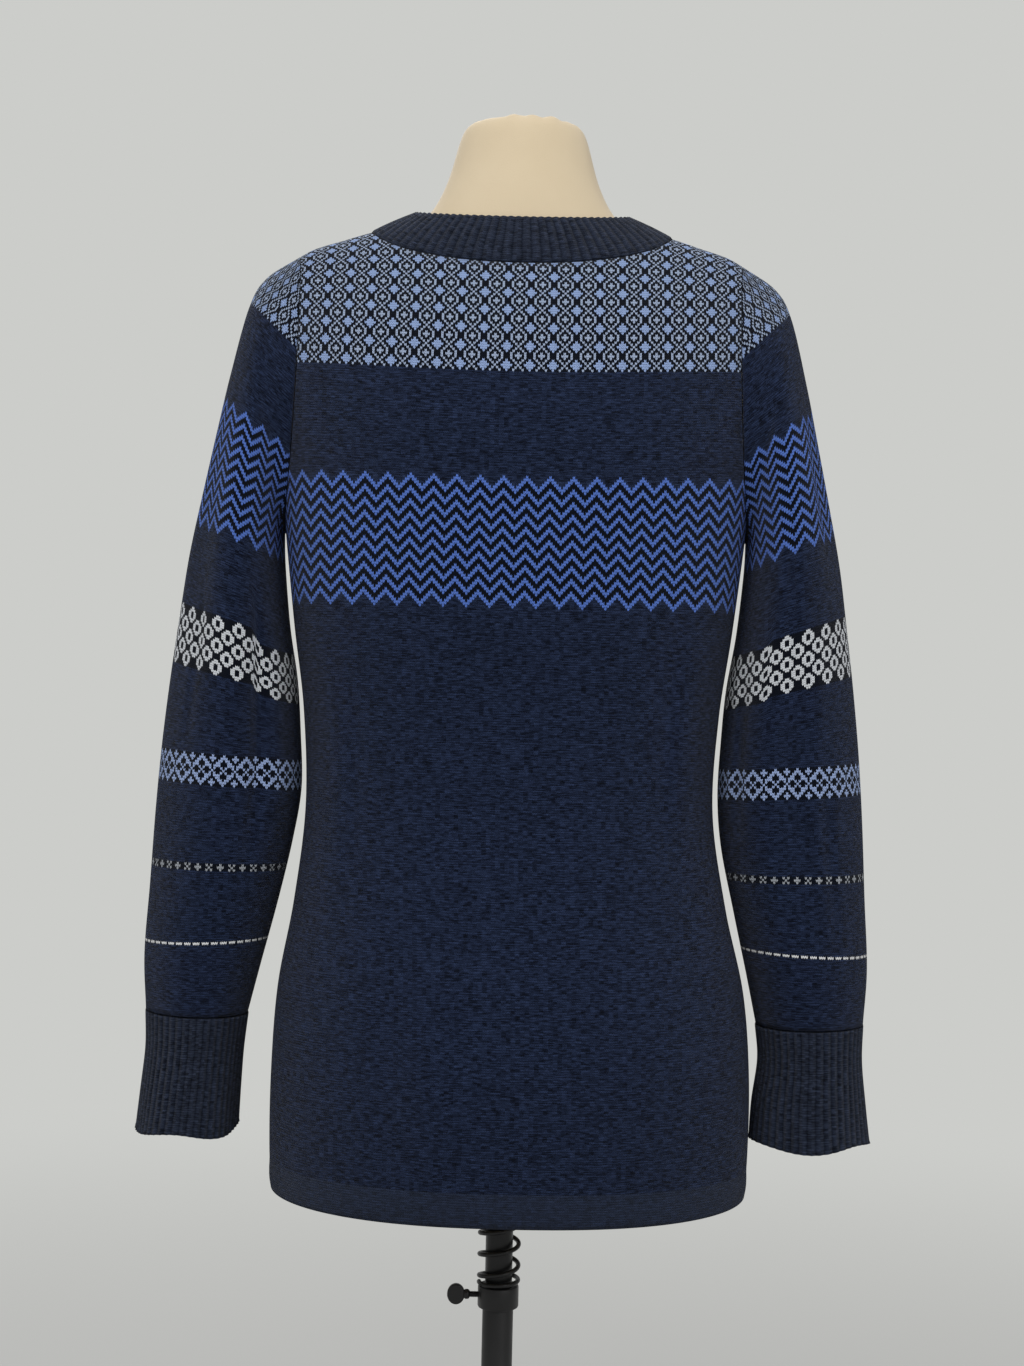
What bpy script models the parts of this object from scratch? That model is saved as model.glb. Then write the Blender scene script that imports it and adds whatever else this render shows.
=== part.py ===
"""Fair isle henley sweater on a limbless dress form with a telescopic stand.

Units are metres. The origin lies on the floor under the pole and +Z is up. The front of
the garment faces -Y and the wearer's left is +X.
"""
import math
from collections import namedtuple

import bmesh
import bpy
from mathutils import Matrix, Vector

# Cloth
WALL = 0.0020           # fine wool, stranded on the inside
SEAM_GAP = 0.0003       # between two pieces that are sewn together
HEM_EDGE = 0.670        # height of the lower edge
HEM_TURN = 0.024        # depth of the turned hem, two layers thick
HEM_LIFT = 0.003        # the edge rises a little towards the side seams
HEM_STEP = 0.003        # from two layers to one
RIB_HEIGHT = 0.0009     # how far a rib stands out of its band

# Torso
UNDERARM = 1.150
SECTION_POWER = 2.3     # between an ellipse and a box, seen from above
ARCH_POWER = 2.8        # the same for the arch over the shoulder, seen from the side
SHOULDER_X = 0.162      # armhole seam at the shoulder point
NECK_X = 0.110          # neckline at the shoulder seam
NECK_SIDE_Z = 1.368
BACK_NECK_DROP = 0.031
FRONT_NECK_DROP = 0.078
ARCH_ROWS = 10
ARCH_SPACING = 2.0      # rows are closer together near the underarm

# Neckband
BAND_TOP_X = 0.078
BAND_TOP_BACK = 0.056
BAND_TOP_FRONT = 0.075
BAND_TOP_SIDE_Z = 1.385
BAND_TOP_BACK_DROP = 0.013
BAND_TOP_FRONT_DROP = 0.067
BAND_BULGE = 0.0015
NECK_RIBS = 90
NOTCH_HALF = 0.013      # half the width of the placket opening

# Sleeves and cuffs
SLEEVE_POINTS = 2 * ARCH_ROWS
CUFF_RIBS = 44
CUFF_WAVE = 0.0012      # the free edge of a cuff flares in soft waves
CUFF_WAVES = 5

# Buttons
BUTTON_RADIUS = 0.0055
BUTTON_THICK = 0.0026
BUTTON_HEIGHTS = (1.180, 1.230, 1.280)
BUTTON_STEPS = 16

# Dress form
FORM_BOTTOM = 0.700
FORM_NECK_INSET = 0.0012 # more room where the shoulder turns into the neck
NECK_ROOM = 0.0055       # between the neckband and the form's neck
ARM_PLATE_OUT = 0.006
ARM_PLATE_SHARE = 0.80

# Stand
BASE_RADIUS = 0.170
BASE_THICK = 0.008
LOWER_RADIUS = 0.0113
LOWER_BORE = 0.0105
LOWER_TOP = 0.5995
UPPER_RADIUS = 0.0100
UPPER_BOTTOM = 0.300
SOCKET_BORE = 0.0118
COLLAR_RADIUS = 0.0150
COLLAR_BOTTOM = 0.5840
COLLAR_TOP = 0.6000
FLANGE_RADIUS = 0.034
HUB_RADIUS = 0.0168
HUB_BOTTOM = 0.6840
SPRING_RADIUS = 0.0143  # to the middle of the wire
SPRING_WIRE = 0.0017
SPRING_TURNS = 6.5
SPRING_STEPS = 10        # straight lengths of wire in each turn
SPRING_CLOSED = 0.9      # turns at each end that lie flat
SCREW_Z = 0.5925
SCREW_SHAFT = 0.0022
SCREW_HOLE = 0.0027
SCREW_TIP_X = 0.0117
SCREW_HEAD_X = 0.0245
SCREW_HEAD_LONG = 0.0130
SCREW_HEAD_TALL = 0.0150
SCREW_HEAD_THICK = 0.0046
ROUND_STEPS = 24
BASE_STEPS = 40

Level = namedtuple("Level", "z half_width back_depth front_depth centre_x")
TORSO = (
    Level(0.670, 0.1720, 0.112, 0.104, -0.005),
    Level(0.700, 0.1745, 0.116, 0.106, -0.005),
    Level(0.760, 0.1745, 0.117, 0.108, -0.005),
    Level(0.820, 0.1700, 0.110, 0.107, -0.004),
    Level(0.880, 0.1580, 0.097, 0.104, -0.002),
    Level(0.950, 0.1490, 0.087, 0.101, 0.0),
    Level(1.020, 0.1520, 0.088, 0.106, 0.0),
    Level(1.080, 0.1600, 0.096, 0.116, 0.0),
    Level(1.150, 0.1680, 0.102, 0.126, 0.0),
    Level(1.220, 0.1750, 0.104, 0.114, 0.0),
    Level(1.300, 0.1820, 0.096, 0.092, 0.0),
    Level(1.350, 0.1850, 0.086, 0.080, 0.0),
    Level(1.390, 0.1850, 0.078, 0.072, 0.0),
)

Ridge = namedtuple("Ridge", "x z")
SHOULDER = (
    Ridge(0.000, 1.3870),
    Ridge(0.060, 1.3800),
    Ridge(0.110, 1.3680),
    Ridge(0.130, 1.3620),
    Ridge(0.150, 1.3560),
    Ridge(0.162, 1.3500),
)

ArmholeEdge = namedtuple("ArmholeEdge", "share x")
ARMHOLE = (
    ArmholeEdge(0.00, 0.1680),
    ArmholeEdge(0.10, 0.1665),
    ArmholeEdge(0.20, 0.1645),
    ArmholeEdge(0.30, 0.1620),
    ArmholeEdge(0.40, 0.1600),
    ArmholeEdge(0.55, 0.1582),
    ArmholeEdge(0.75, 0.1582),
    ArmholeEdge(0.90, 0.1600),
    ArmholeEdge(1.00, SHOULDER_X),
)

# Rings of the sleeve: the ends of each ring in the view from behind, on the outer side
# and next to the body, and half its depth from front to back.
Ring = namedtuple("Ring", "outer_x outer_z inner_left inner_right inner_z half_depth centre_y")
SLEEVE = (
    Ring(0.1860, 1.3345, 0.1688, 0.1688, 1.1497, 0.0545, 0.0),
    Ring(0.1980, 1.3130, 0.1694, 0.1694, 1.1490, 0.0575, 0.0),
    Ring(0.2100, 1.2650, 0.1698, 0.1698, 1.1478, 0.0605, 0.0),
    Ring(0.2185, 1.2250, 0.1700, 0.1700, 1.1460, 0.0620, 0.0),
    Ring(0.2285, 1.1780, 0.1690, 0.1690, 1.1240, 0.0615, -0.001),
    Ring(0.2380, 1.1320, 0.1645, 0.1645, 1.0800, 0.0590, -0.002),
    Ring(0.2445, 1.0880, 0.1580, 0.1580, 1.0400, 0.0560, -0.003),
    Ring(0.2505, 1.0440, 0.1550, 0.1550, 1.0020, 0.0530, -0.004),
    Ring(0.2560, 0.9950, 0.1535, 0.1535, 0.9620, 0.0500, -0.005),
    Ring(0.2600, 0.9450, 0.1590, 0.1570, 0.9240, 0.0470, -0.006),
    Ring(0.2630, 0.8900, 0.1690, 0.1670, 0.8780, 0.0440, -0.006),
    Ring(0.2660, 0.8380, 0.1805, 0.1775, 0.8320, 0.0410, -0.006),
    Ring(0.2640, 0.7970, 0.1895, 0.1855, 0.7950, 0.0375, -0.006),
)
CUFF = (
    Ring(0.2635, 0.7967, 0.1898, 0.1858, 0.7947, 0.0370, -0.006),
    Ring(0.2630, 0.7700, 0.1925, 0.1880, 0.7690, 0.0360, -0.006),
    Ring(0.2660, 0.7380, 0.1944, 0.1840, 0.7380, 0.0385, -0.006),
    Ring(0.2688, 0.7100, 0.1958, 0.1820, 0.7100, 0.0420, -0.006),
)

# Creases of a sleeve: the angle is measured from its outer side towards the back.
Crease = namedtuple("Crease", "side angle first last spread depth")
SLEEVE_CREASES = (
    Crease(1, 48, 2, 8, 26, 0.0050),
    Crease(1, 118, 4, 10, 24, 0.0045),
    Crease(1, 250, 3, 9, 26, 0.0045),
    Crease(1, 312, 6, 12, 26, 0.0035),
    Crease(-1, 40, 1, 6, 24, 0.0050),
    Crease(-1, 92, 5, 11, 26, 0.0045),
    Crease(-1, 262, 3, 8, 26, 0.0045),
    Crease(-1, 320, 5, 11, 26, 0.0035),
)

# Soft ridges of the body: across is the share of the half width.
Fold = namedtuple("Fold", "side across top bottom spread height")
BODY_FOLDS = (
    Fold(1, -0.84, 1.12, 0.90, 0.13, 0.0050),
    Fold(1, 0.84, 1.08, 0.84, 0.13, 0.0030),
    Fold(1, 0.30, 0.86, 0.67, 0.20, 0.0030),
    Fold(-1, -0.82, 1.06, 0.84, 0.14, 0.0040),
    Fold(-1, 0.82, 1.10, 0.88, 0.14, 0.0035),
    Fold(-1, -0.30, 0.88, 0.67, 0.20, 0.0030),
)

Inset = namedtuple("Inset", "z depth")
FORM_INSET = (
    Inset(0.700, 0.0110),
    Inset(0.900, 0.0090),
    Inset(1.100, 0.0080),
    Inset(1.200, 0.0060),
    Inset(1.290, 0.0038),
    Inset(1.340, 0.0027),
    Inset(1.390, 0.0026),
)

NeckRing = namedtuple("NeckRing", "z half_x back front")
FORM_NECK = (
    NeckRing(1.400, 0.0590, 0.0460, 0.0610),
    NeckRing(1.416, 0.0535, 0.0430, 0.0565),
    NeckRing(1.439, 0.0480, 0.0400, 0.0520),
    NeckRing(1.447, 0.0445, 0.0370, 0.0480),
    NeckRing(1.450, 0.0390, 0.0320, 0.0425),
)

# Columns of a panel, from its edge to the placket. The inner ones end at the neckline, at
# an angle from its centre. The outer ones lie a share of the way from the neckline to the
# armhole. Low is the share of the half width up to the underarm.
Column = namedtuple("Column", "sign out neck low")
HALF_COLUMNS = (
    Column(1, 1.00, 60, 0.60),
    Column(1, 0.94, 60, 0.60),
    Column(1, 0.78, 60, 0.60),
    Column(1, 0.52, 60, 0.60),
    Column(1, 0.26, 60, 0.60),
    Column(1, 0.00, 60, 0.60),
    Column(1, 0.00, 44, 0.45),
    Column(1, 0.00, 26, 0.27),
    Column(1, 0.00, math.degrees(math.asin(NOTCH_HALF / NECK_X)), NOTCH_HALF / SHOULDER_X),
)
NECK_ROWS = 6           # rows of the arch up to the corner where the neckline turns up
NECK_START = NECK_ROWS / ARCH_ROWS
BELOW_ROWS = (HEM_EDGE, HEM_EDGE + HEM_TURN, HEM_EDGE + HEM_TURN + HEM_STEP,
              0.740, 0.790, 0.840, 0.890, 0.945, 1.000, 1.050, 1.100, UNDERARM)

WOOL = (0.024, 0.036, 0.062)
YOKE_WOOL = (0.075, 0.105, 0.210)
RIB_WOOL = (0.012, 0.016, 0.034)
COVER = (0.680, 0.580, 0.400)
BLACK_STEEL = (0.012, 0.012, 0.013)
SPRING_STEEL = (0.045, 0.045, 0.048)
BUTTON_NAVY = (0.020, 0.026, 0.045)


def clear_scene():
    """Start from an empty file."""
    for obj in list(bpy.data.objects):
        bpy.data.objects.remove(obj, do_unlink=True)


def read(table, column, at):
    """Read one column of a table at a place between its rows, on a smooth curve."""
    places = [row[0] for row in table]
    values = [getattr(row, column) for row in table]
    if at <= places[0]:
        return values[0]
    if at >= places[-1]:
        return values[-1]
    i = max(k for k in range(len(places) - 1) if places[k] <= at)
    return cubic(places, values, i, at)


def cubic(places, values, i, at):
    """Cubic curve through the points i and i + 1 with the slopes of its neighbours."""
    def slope(k):
        low, high = max(k - 1, 0), min(k + 1, len(places) - 1)
        return (values[high] - values[low]) / (places[high] - places[low])
    span = places[i + 1] - places[i]
    t = (at - places[i]) / span
    start = (2 * t ** 3 - 3 * t ** 2 + 1) * values[i]
    start += (t ** 3 - 2 * t ** 2 + t) * span * slope(i)
    end = (3 * t ** 2 - 2 * t ** 3) * values[i + 1]
    end += (t ** 3 - t ** 2) * span * slope(i + 1)
    return start + end


def bump(distance, spread):
    """A smooth hill: 1 in the middle and 0 at the spread."""
    share = min(abs(distance) / spread, 1.0)
    return (1.0 - share * share) ** 2


def body_fold(across, z, side):
    """How far the soft ridges lift the body here."""
    lift = 0.0
    for fold in BODY_FOLDS:
        if fold.side == side:
            middle = (fold.top + fold.bottom) / 2
            along = bump(z - middle, (fold.top - fold.bottom) / 2)
            lift += fold.height * bump(across - fold.across, fold.spread) * along
    return lift


def neckline(angle, side):
    """Share of the half width, and angle on the arch, of the neckline at an angle from its
    centre."""
    x = NECK_X * math.sin(math.radians(angle))
    drop = BACK_NECK_DROP if side > 0 else FRONT_NECK_DROP
    height = NECK_SIDE_Z - drop * math.cos(math.radians(angle)) - UNDERARM
    top = min(height / (read(SHOULDER, "z", x) - UNDERARM), 1.0)
    return x / SHOULDER_X, math.asin(top ** (ARCH_POWER / 2))


def neck_angle(column, row):
    """Angle from the centre of the neckline of the corner where a column meets it. The
    upper rows of the outer columns turn up along it to the shoulder."""
    up = max(row * ARCH_ROWS - NECK_ROWS, 0) / (ARCH_ROWS - NECK_ROWS)
    return column.neck + (90 - column.neck) * up


def arch_place(column, row, side):
    """Share of the half width, and angle on the arch, of a row above the underarm."""
    share, angle = neckline(neck_angle(column, row), side)
    climb = min(row * ARCH_ROWS / NECK_ROWS, 1.0) ** ARCH_SPACING
    share = column.low + (share - column.low) * climb
    angle *= climb
    edge_angle = math.pi / 2 * row ** ARCH_SPACING
    return share + (1 - share) * column.out, angle + (edge_angle - angle) * column.out


def torso_point(column, row, side):
    """A point of the body. Rows up to 0 are metres below the underarm, and rows from 0 to
    1 climb the arch from the underarm to the shoulder or the neckline."""
    if row <= 0:
        z = UNDERARM + row
        across = column.low + (1 - column.low) * column.out
        x = across * read(TORSO, "half_width", z)
        arch = 1.0
        if z < HEM_EDGE + HEM_STEP:
            z += HEM_LIFT * across ** 3
    else:
        across, angle = arch_place(column, row, side)
        x = across * read(ARMHOLE, "x", row)
        ridge = read(SHOULDER, "z", x) - UNDERARM
        z = UNDERARM + ridge * math.sin(angle) ** (2 / ARCH_POWER)
        arch = max(math.cos(angle), 0.0) ** (2 / ARCH_POWER)
        if angle > math.pi / 2 - 1e-6:
            arch = 0.0
    reach = min(x / read(TORSO, "half_width", z), 1.0)
    depth = read(TORSO, "back_depth" if side > 0 else "front_depth", z)
    y = depth * (1.0 - reach ** SECTION_POWER) ** (1 / SECTION_POWER)
    y = y * arch + body_fold(column.sign * across, z, side)
    return Vector((column.sign * x + read(TORSO, "centre_x", z), side * y, z))


def panel_columns():
    """Columns of a panel, from the wearer's right to the left."""
    right = [column._replace(sign=-1) for column in HALF_COLUMNS]
    return right + list(reversed(HALF_COLUMNS))


def inside_neck(column):
    """Whether a column ends at the neckline."""
    return column.neck < HALF_COLUMNS[0].neck


def panel_grid(rows, side):
    """Points and quads of a panel, without the quads inside the neckline."""
    columns = panel_columns()
    points = []
    for row in rows:
        for column in columns:
            points.append(torso_point(column, min(row, NECK_START) if inside_neck(column) else row, side))
    faces = []
    for face in grid_faces(len(rows), len(columns), False):
        top = rows[max(face) // len(columns)]
        ends = any(inside_neck(columns[i % len(columns)]) for i in face)
        if top <= NECK_START or not ends:
            faces.append(face)
    return points, faces


def panel_rows():
    """Rows of a panel, from the hem to the shoulder."""
    below = [z - UNDERARM for z in BELOW_ROWS]
    return below + [(k + 1) / ARCH_ROWS for k in range(ARCH_ROWS)]


def neck_turn(angle, sign, side):
    """Angle round the neck, 0 on the left and 90 degrees at the back, of a place at an
    angle from the centre of the neckline."""
    turn = math.pi / 2 - sign * math.radians(angle)
    return turn if side > 0 else -turn


def band_top(turn):
    """Top edge of the neckband at this angle round the neck."""
    back = math.sin(turn) >= 0
    angle = math.asin(min(abs(math.cos(turn)), 1.0))
    if not back:
        first = math.asin(NOTCH_HALF / NECK_X)
        first_top = math.asin(NOTCH_HALF / BAND_TOP_X)
        share = (angle - first) / (math.pi / 2 - first)
        angle = first_top + share * (math.pi / 2 - first_top)
    depth = BAND_TOP_BACK if back else -BAND_TOP_FRONT
    drop = BAND_TOP_BACK_DROP if back else BAND_TOP_FRONT_DROP
    x = math.copysign(BAND_TOP_X * math.sin(angle), math.cos(turn))
    return Vector((x, depth * math.cos(angle), BAND_TOP_SIDE_Z - drop * math.cos(angle)))


def neck_point(bottom, turn, share):
    """A point of the neckband, which rises from the neckline and leans in."""
    out = Vector((bottom.x, bottom.y, 0.0)).normalized()
    return bottom.lerp(band_top(turn), share) + out * BAND_BULGE * 4 * share * (1 - share)


def arm_point(ring, angle, side, crease):
    """A point of a sleeve or cuff ring. Angle 0 is the outer side and 90 the back."""
    inner_x = ring.inner_left if side > 0 else ring.inner_right
    outer = Vector((ring.outer_x, ring.outer_z))
    inner = Vector((inner_x, ring.inner_z))
    middle = (outer + inner) / 2
    half = (outer - inner) / 2
    half_width = half.length
    axis = half / half_width
    depth = max(ring.half_depth - crease, 0.001)
    width = half_width - crease
    flat = middle + axis * width * math.cos(angle)
    y = ring.centre_y + depth * math.sin(angle)
    return Vector((side * flat.x, y, flat.y))


def sleeve_crease(side, angle, station):
    """How far the creases press the sleeve in here."""
    depth = 0.0
    for crease in SLEEVE_CREASES:
        if crease.side == side:
            middle = (crease.first + crease.last) / 2
            along = bump(station - middle, (crease.last - crease.first) / 2)
            away = (math.degrees(angle) - crease.angle + 180) % 360 - 180
            depth += crease.depth * bump(away, crease.spread) * along
    return depth


def grid_faces(rows, columns, closed):
    """Quads of a grid whose points are listed row by row."""
    faces = []
    for r in range(rows - 1):
        for c in range(columns if closed else columns - 1):
            d = (c + 1) % columns
            faces.append((r * columns + c, r * columns + d, (r + 1) * columns + d, (r + 1) * columns + c))
    return faces


def face_normal(points, face):
    """Twice the area of a quad, along its normal."""
    a, b, c, d = (points[i] for i in face)
    return (c - a).cross(d - b)


def turn_out(points, faces, inside):
    """Point the quads away from a point inside the garment."""
    total = 0.0
    for face in faces:
        middle = sum((points[i] for i in face), Vector()) / 4
        total += face_normal(points, face).dot(middle - inside)
    return faces if total > 0 else [tuple(reversed(face)) for face in faces]


def spot(point):
    """The name of a place, the same for each piece that meets there."""
    return tuple(round(value, 6) for value in point)


class Cloth:
    """Cut pieces of cloth. Pieces that meet share their seam's points and directions."""

    def __init__(self):
        self.pieces = {}
        self.directions = {}

    def cut(self, name, points, faces, inside):
        """Lay out a piece, and take its share of the direction out of the cloth."""
        faces = turn_out(points, faces, inside)
        self.pieces[name] = (points, faces)
        for face in faces:
            normal = face_normal(points, face)
            for i in face:
                self.directions.setdefault(spot(points[i]), Vector())
                self.directions[spot(points[i])] += normal

    def out(self, point):
        """Direction out of the cloth at one of its points."""
        return self.directions[spot(point)].normalized()

    def wall(self, name, thick=None, lift=None):
        """The closed wall of a piece, drawn back from its seams by half a gap."""
        points, faces = self.pieces[name]
        used = sorted({i for face in faces for i in face})
        normals = {i: self.out(points[i]) for i in used}
        edges = free_edges(faces)
        back = seam_allowance(points, faces, edges)
        outer = {}
        inner = {}
        mesh = bmesh.new()
        for i in used:
            place = points[i] + back.get(i, Vector()) * SEAM_GAP / 2
            rise = lift[i] if lift else 0.0
            depth = thick(points[i]) if thick else WALL
            outer[i] = mesh.verts.new(place + normals[i] * rise)
            inner[i] = mesh.verts.new(place - normals[i] * depth)
        for corners in halves(faces):
            mesh.faces.new([outer[i] for i in corners])
            mesh.faces.new([inner[i] for i in reversed(corners)])
        for a, b in edges:
            if spot(points[a]) < spot(points[b]):
                mesh.faces.new((outer[b], outer[a], inner[b]))
                mesh.faces.new((outer[a], inner[a], inner[b]))
            else:
                mesh.faces.new((outer[b], outer[a], inner[a]))
                mesh.faces.new((outer[b], inner[a], inner[b]))
        return mesh


def halves(faces):
    """Each quad as two triangles, cut the same way in every grid."""
    triangles = []
    for face in faces:
        i = face.index(min(face))
        a, b, c, d = face[i:] + face[:i]
        triangles += [(a, b, c), (a, c, d)]
    return triangles


def free_edges(faces):
    """Edges that only one quad has, in that quad's order."""
    seen = {}
    for face in faces:
        for a, b in zip(face, face[1:] + face[:1]):
            seen[(a, b)] = seen.get((a, b), 0) + 1
    return [(a, b) for a, b in seen if (b, a) not in seen]


def seam_allowance(points, faces, edges):
    """Directions that draw the free edges back into their piece."""
    owner = {}
    for face in faces:
        for a, b in zip(face, face[1:] + face[:1]):
            owner[(a, b)] = face
    back = {}
    for a, b in edges:
        normal = face_normal(points, owner[(a, b)]).normalized()
        inward = normal.cross((points[b] - points[a]).normalized())
        for i in (a, b):
            back.setdefault(i, []).append(inward)
    return {i: mitre(pair) for i, pair in back.items()}


def mitre(pair):
    """One move that keeps a point the same distance from both of its edges."""
    middle = sum(pair, Vector())
    middle.normalize()
    return middle / max(middle.dot(pair[0]), 0.5)


def cut_body(cloth):
    """The front and back panels. The front is notched for the placket."""
    for name, side in (("back", 1), ("front", -1)):
        points, faces = panel_grid(panel_rows(), side)
        if side < 0:
            faces = [face for face in faces if not in_notch(points, face)]
        cloth.cut(name, points, faces, Vector((0, 0, UNDERARM - 0.1)))


def in_notch(points, face):
    """Whether a quad of the front lies in the placket opening."""
    middle = sum((points[i] for i in face), Vector()) / 4
    return middle.z > UNDERARM and abs(middle.x) < NOTCH_HALF * 0.9


def cut_sleeves(cloth):
    """Set-in sleeves, from the armhole loop through the table's rings."""
    loop = [(1 - k / ARCH_ROWS, 1) for k in range(ARCH_ROWS)]
    loop += [(k / ARCH_ROWS, -1) for k in range(ARCH_ROWS)]
    for name, side in (("sleeve_left", 1), ("sleeve_right", -1)):
        edge = HALF_COLUMNS[0]._replace(sign=side)
        points = [torso_point(edge, row, front) for row, front in loop]
        for station, ring in enumerate(SLEEVE):
            for i in range(SLEEVE_POINTS):
                angle = 2 * math.pi * i / SLEEVE_POINTS
                points.append(arm_point(ring, angle, side, sleeve_crease(side, angle, station)))
        faces = grid_faces(len(SLEEVE) + 1, SLEEVE_POINTS, True)
        cloth.cut(name, points, faces, Vector((side * 0.205, -0.003, 1.05)))
        underarm = torso_point(edge, 0, 1)
        cloth.directions[spot(underarm)] = Vector((0, 0, -1))


def cut_cuffs(cloth):
    """Ribbed cuffs. Every second point of the outer rings is raised."""
    count = 2 * CUFF_RIBS
    for name, side in (("cuff_left", 1), ("cuff_right", -1)):
        points = []
        for station, ring in enumerate(CUFF):
            flare = CUFF_WAVE * (station / (len(CUFF) - 1)) ** 2
            for i in range(count):
                angle = 2 * math.pi * i / count
                wave = flare * math.cos(CUFF_WAVES * angle + side)
                points.append(arm_point(ring, angle, side, -wave))
        cloth.cut(name, points, grid_faces(len(CUFF), count, True), Vector((side * 0.228, -0.006, 0.755)))


def neck_loop():
    """Corners of the neckline, each with its turn, from the placket round the back."""
    half = [(column, NECK_START) for column in reversed(HALF_COLUMNS) if column.out == 0]
    half += [(half[-1][0], row / ARCH_ROWS) for row in range(NECK_ROWS + 1, ARCH_ROWS + 1)]
    back = half[-2::-1]
    route = [(1, -1, half), (1, 1, back), (-1, 1, half), (-1, -1, back)]
    corners = []
    for sign, side, stops in route:
        for column, row in stops:
            turn = neck_turn(neck_angle(column, row), sign, side)
            if corners and turn < corners[-1][0]:
                turn += 2 * math.pi
            corners.append((turn, torso_point(column._replace(sign=sign), row, side)))
    return corners


def cut_neckband(cloth):
    """A ribbed band round the neckline, open at the placket."""
    loop = neck_loop()
    lengths = [(b[1] - a[1]).length for a, b in zip(loop, loop[1:])]
    count = 2 * NECK_RIBS + 1
    shares = (0.0, 0.5, 1.0)
    rows = [[] for share in shares]
    directions = []
    for k in range(count):
        i, t = place_along(lengths, sum(lengths) * k / (count - 1))
        start, end = loop[i], loop[i + 1]
        turn = start[0] + (end[0] - start[0]) * t
        bottom = start[1].lerp(end[1], t)
        directions.append(cloth.out(start[1]).lerp(cloth.out(end[1]), t))
        for row, share in zip(rows, shares):
            row.append(neck_point(bottom, turn, share))
    points = [point for row in rows for point in row]
    cloth.cut("neckband", points, grid_faces(len(shares), count, False), Vector((0, 0, 1.34)))
    for point, direction in zip(rows[0], directions):
        cloth.directions[spot(point)] = direction


def place_along(lengths, distance):
    """The stretch of a chain that holds this distance, and the share of it."""
    for i, length in enumerate(lengths):
        if distance <= length or i == len(lengths) - 1:
            return i, min(distance / length, 1.0)
        distance -= length


def placket_rows():
    """Three points across the placket opening, at each row up to the top of the neckband."""
    edges = [HALF_COLUMNS[-1]._replace(sign=sign) for sign in (-1, 1)]
    rows = []
    for k in range(NECK_ROWS + 1):
        rows.append([torso_point(edge, k / ARCH_ROWS, -1) for edge in edges])
    bottom = rows[-1]
    for share in (0.5, 1.0):
        rows.append([neck_point(place, neck_turn(edge.neck, edge.sign, -1), share)
                     for place, edge in zip(bottom, edges)])
    return [[left, (left + right) / 2, right] for left, right in rows]


def cut_placket(cloth):
    """The under band lies in the notch and the outer band on the under band."""
    rows = placket_rows()
    points = [point for row in rows for point in row]
    faces = grid_faces(len(rows), 3, False)
    inside = Vector((0, 0, 1.25))
    cloth.cut("placket_under_band", points, faces, inside)
    for left, middle, right in rows:
        cloth.directions[spot(middle)] = cloth.out(left) + cloth.out(right)
    rise = WALL + SEAM_GAP
    raised = [point + cloth.out(point) * rise for point in points]
    cloth.cut("placket_outer_band", raised, faces, inside)
    return raised


def material(name, colour, roughness, metallic=0.0):
    """A plain finish for one part."""
    finish = bpy.data.materials.new(name)
    finish.use_nodes = True
    shader = finish.node_tree.nodes["Principled BSDF"]
    shader.inputs["Base Color"].default_value = (*colour, 1.0)
    shader.inputs["Roughness"].default_value = roughness
    shader.inputs["Metallic"].default_value = metallic
    return finish


def empty(name, place, parent=None):
    """An empty on a joint's axis."""
    obj = bpy.data.objects.new(name, None)
    bpy.context.collection.objects.link(obj)
    obj.location = place - (parent.location if parent else Vector())
    obj.parent = parent
    return obj


def add(name, mesh, parent, colour, roughness, metallic=0.0, smooth=True):
    """Make an object of a mesh in world space, under the empty that carries it."""
    origin = parent.location.copy()
    if parent.parent:
        origin += parent.parent.location
    bmesh.ops.translate(mesh, verts=mesh.verts, vec=-origin)
    data = bpy.data.meshes.new(name)
    mesh.to_mesh(data)
    mesh.free()
    if smooth:
        data.shade_smooth()
        data.set_sharp_from_angle(angle=math.radians(40))
    obj = bpy.data.objects.new(name, data)
    bpy.context.collection.objects.link(obj)
    obj.parent = parent
    data.materials.append(material(name + "_finish", colour, roughness, metallic))
    return obj


def turned(profile, steps=ROUND_STEPS):
    """A body of revolution round Z. A profile that starts and ends on the axis is solid,
    and any other is closed into a ring."""
    mesh = bmesh.new()
    verts = [mesh.verts.new((radius, 0.0, z)) for radius, z in profile]
    edges = [mesh.edges.new(pair) for pair in zip(verts, verts[1:])]
    if profile[0][0] > 0:
        edges.append(mesh.edges.new((verts[-1], verts[0])))
    bmesh.ops.spin(mesh, geom=verts + edges, cent=(0, 0, 0), axis=(0, 0, 1), dvec=(0, 0, 0),
                   angle=2 * math.pi, steps=steps, use_merge=True, use_duplicate=False)
    bmesh.ops.remove_doubles(mesh, verts=mesh.verts, dist=1e-6)
    bmesh.ops.recalc_face_normals(mesh, faces=mesh.faces)
    return mesh


def sew_sweater(parent):
    """Every piece of the sweater, cut first and then given its wall."""
    cloth = Cloth()
    cut_body(cloth)
    cut_sleeves(cloth)
    cut_cuffs(cloth)
    raised = cut_placket(cloth)
    cut_neckband(cloth)

    def hem_thick(point):
        return 2 * WALL if point.z < HEM_EDGE + HEM_TURN + HEM_STEP / 2 else WALL

    for name in ("back", "front"):
        add(name, cloth.wall(name, thick=hem_thick), parent, YOKE_WOOL, 0.95)
    for name in ("sleeve_left", "sleeve_right"):
        add(name, cloth.wall(name), parent, WOOL, 0.95)
    for name in ("cuff_left", "cuff_right", "neckband"):
        points = cloth.pieces[name][0]
        count = 2 * CUFF_RIBS if name != "neckband" else 2 * NECK_RIBS + 1
        lift = [RIB_HEIGHT * ((i % count) % 2) for i in range(len(points))]
        add(name, cloth.wall(name, lift=lift), parent, RIB_WOOL, 0.95)
    for name in ("placket_under_band", "placket_outer_band"):
        add(name, cloth.wall(name), parent, RIB_WOOL, 0.9)
    sew_buttons(cloth, raised, parent)
    return cloth


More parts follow.
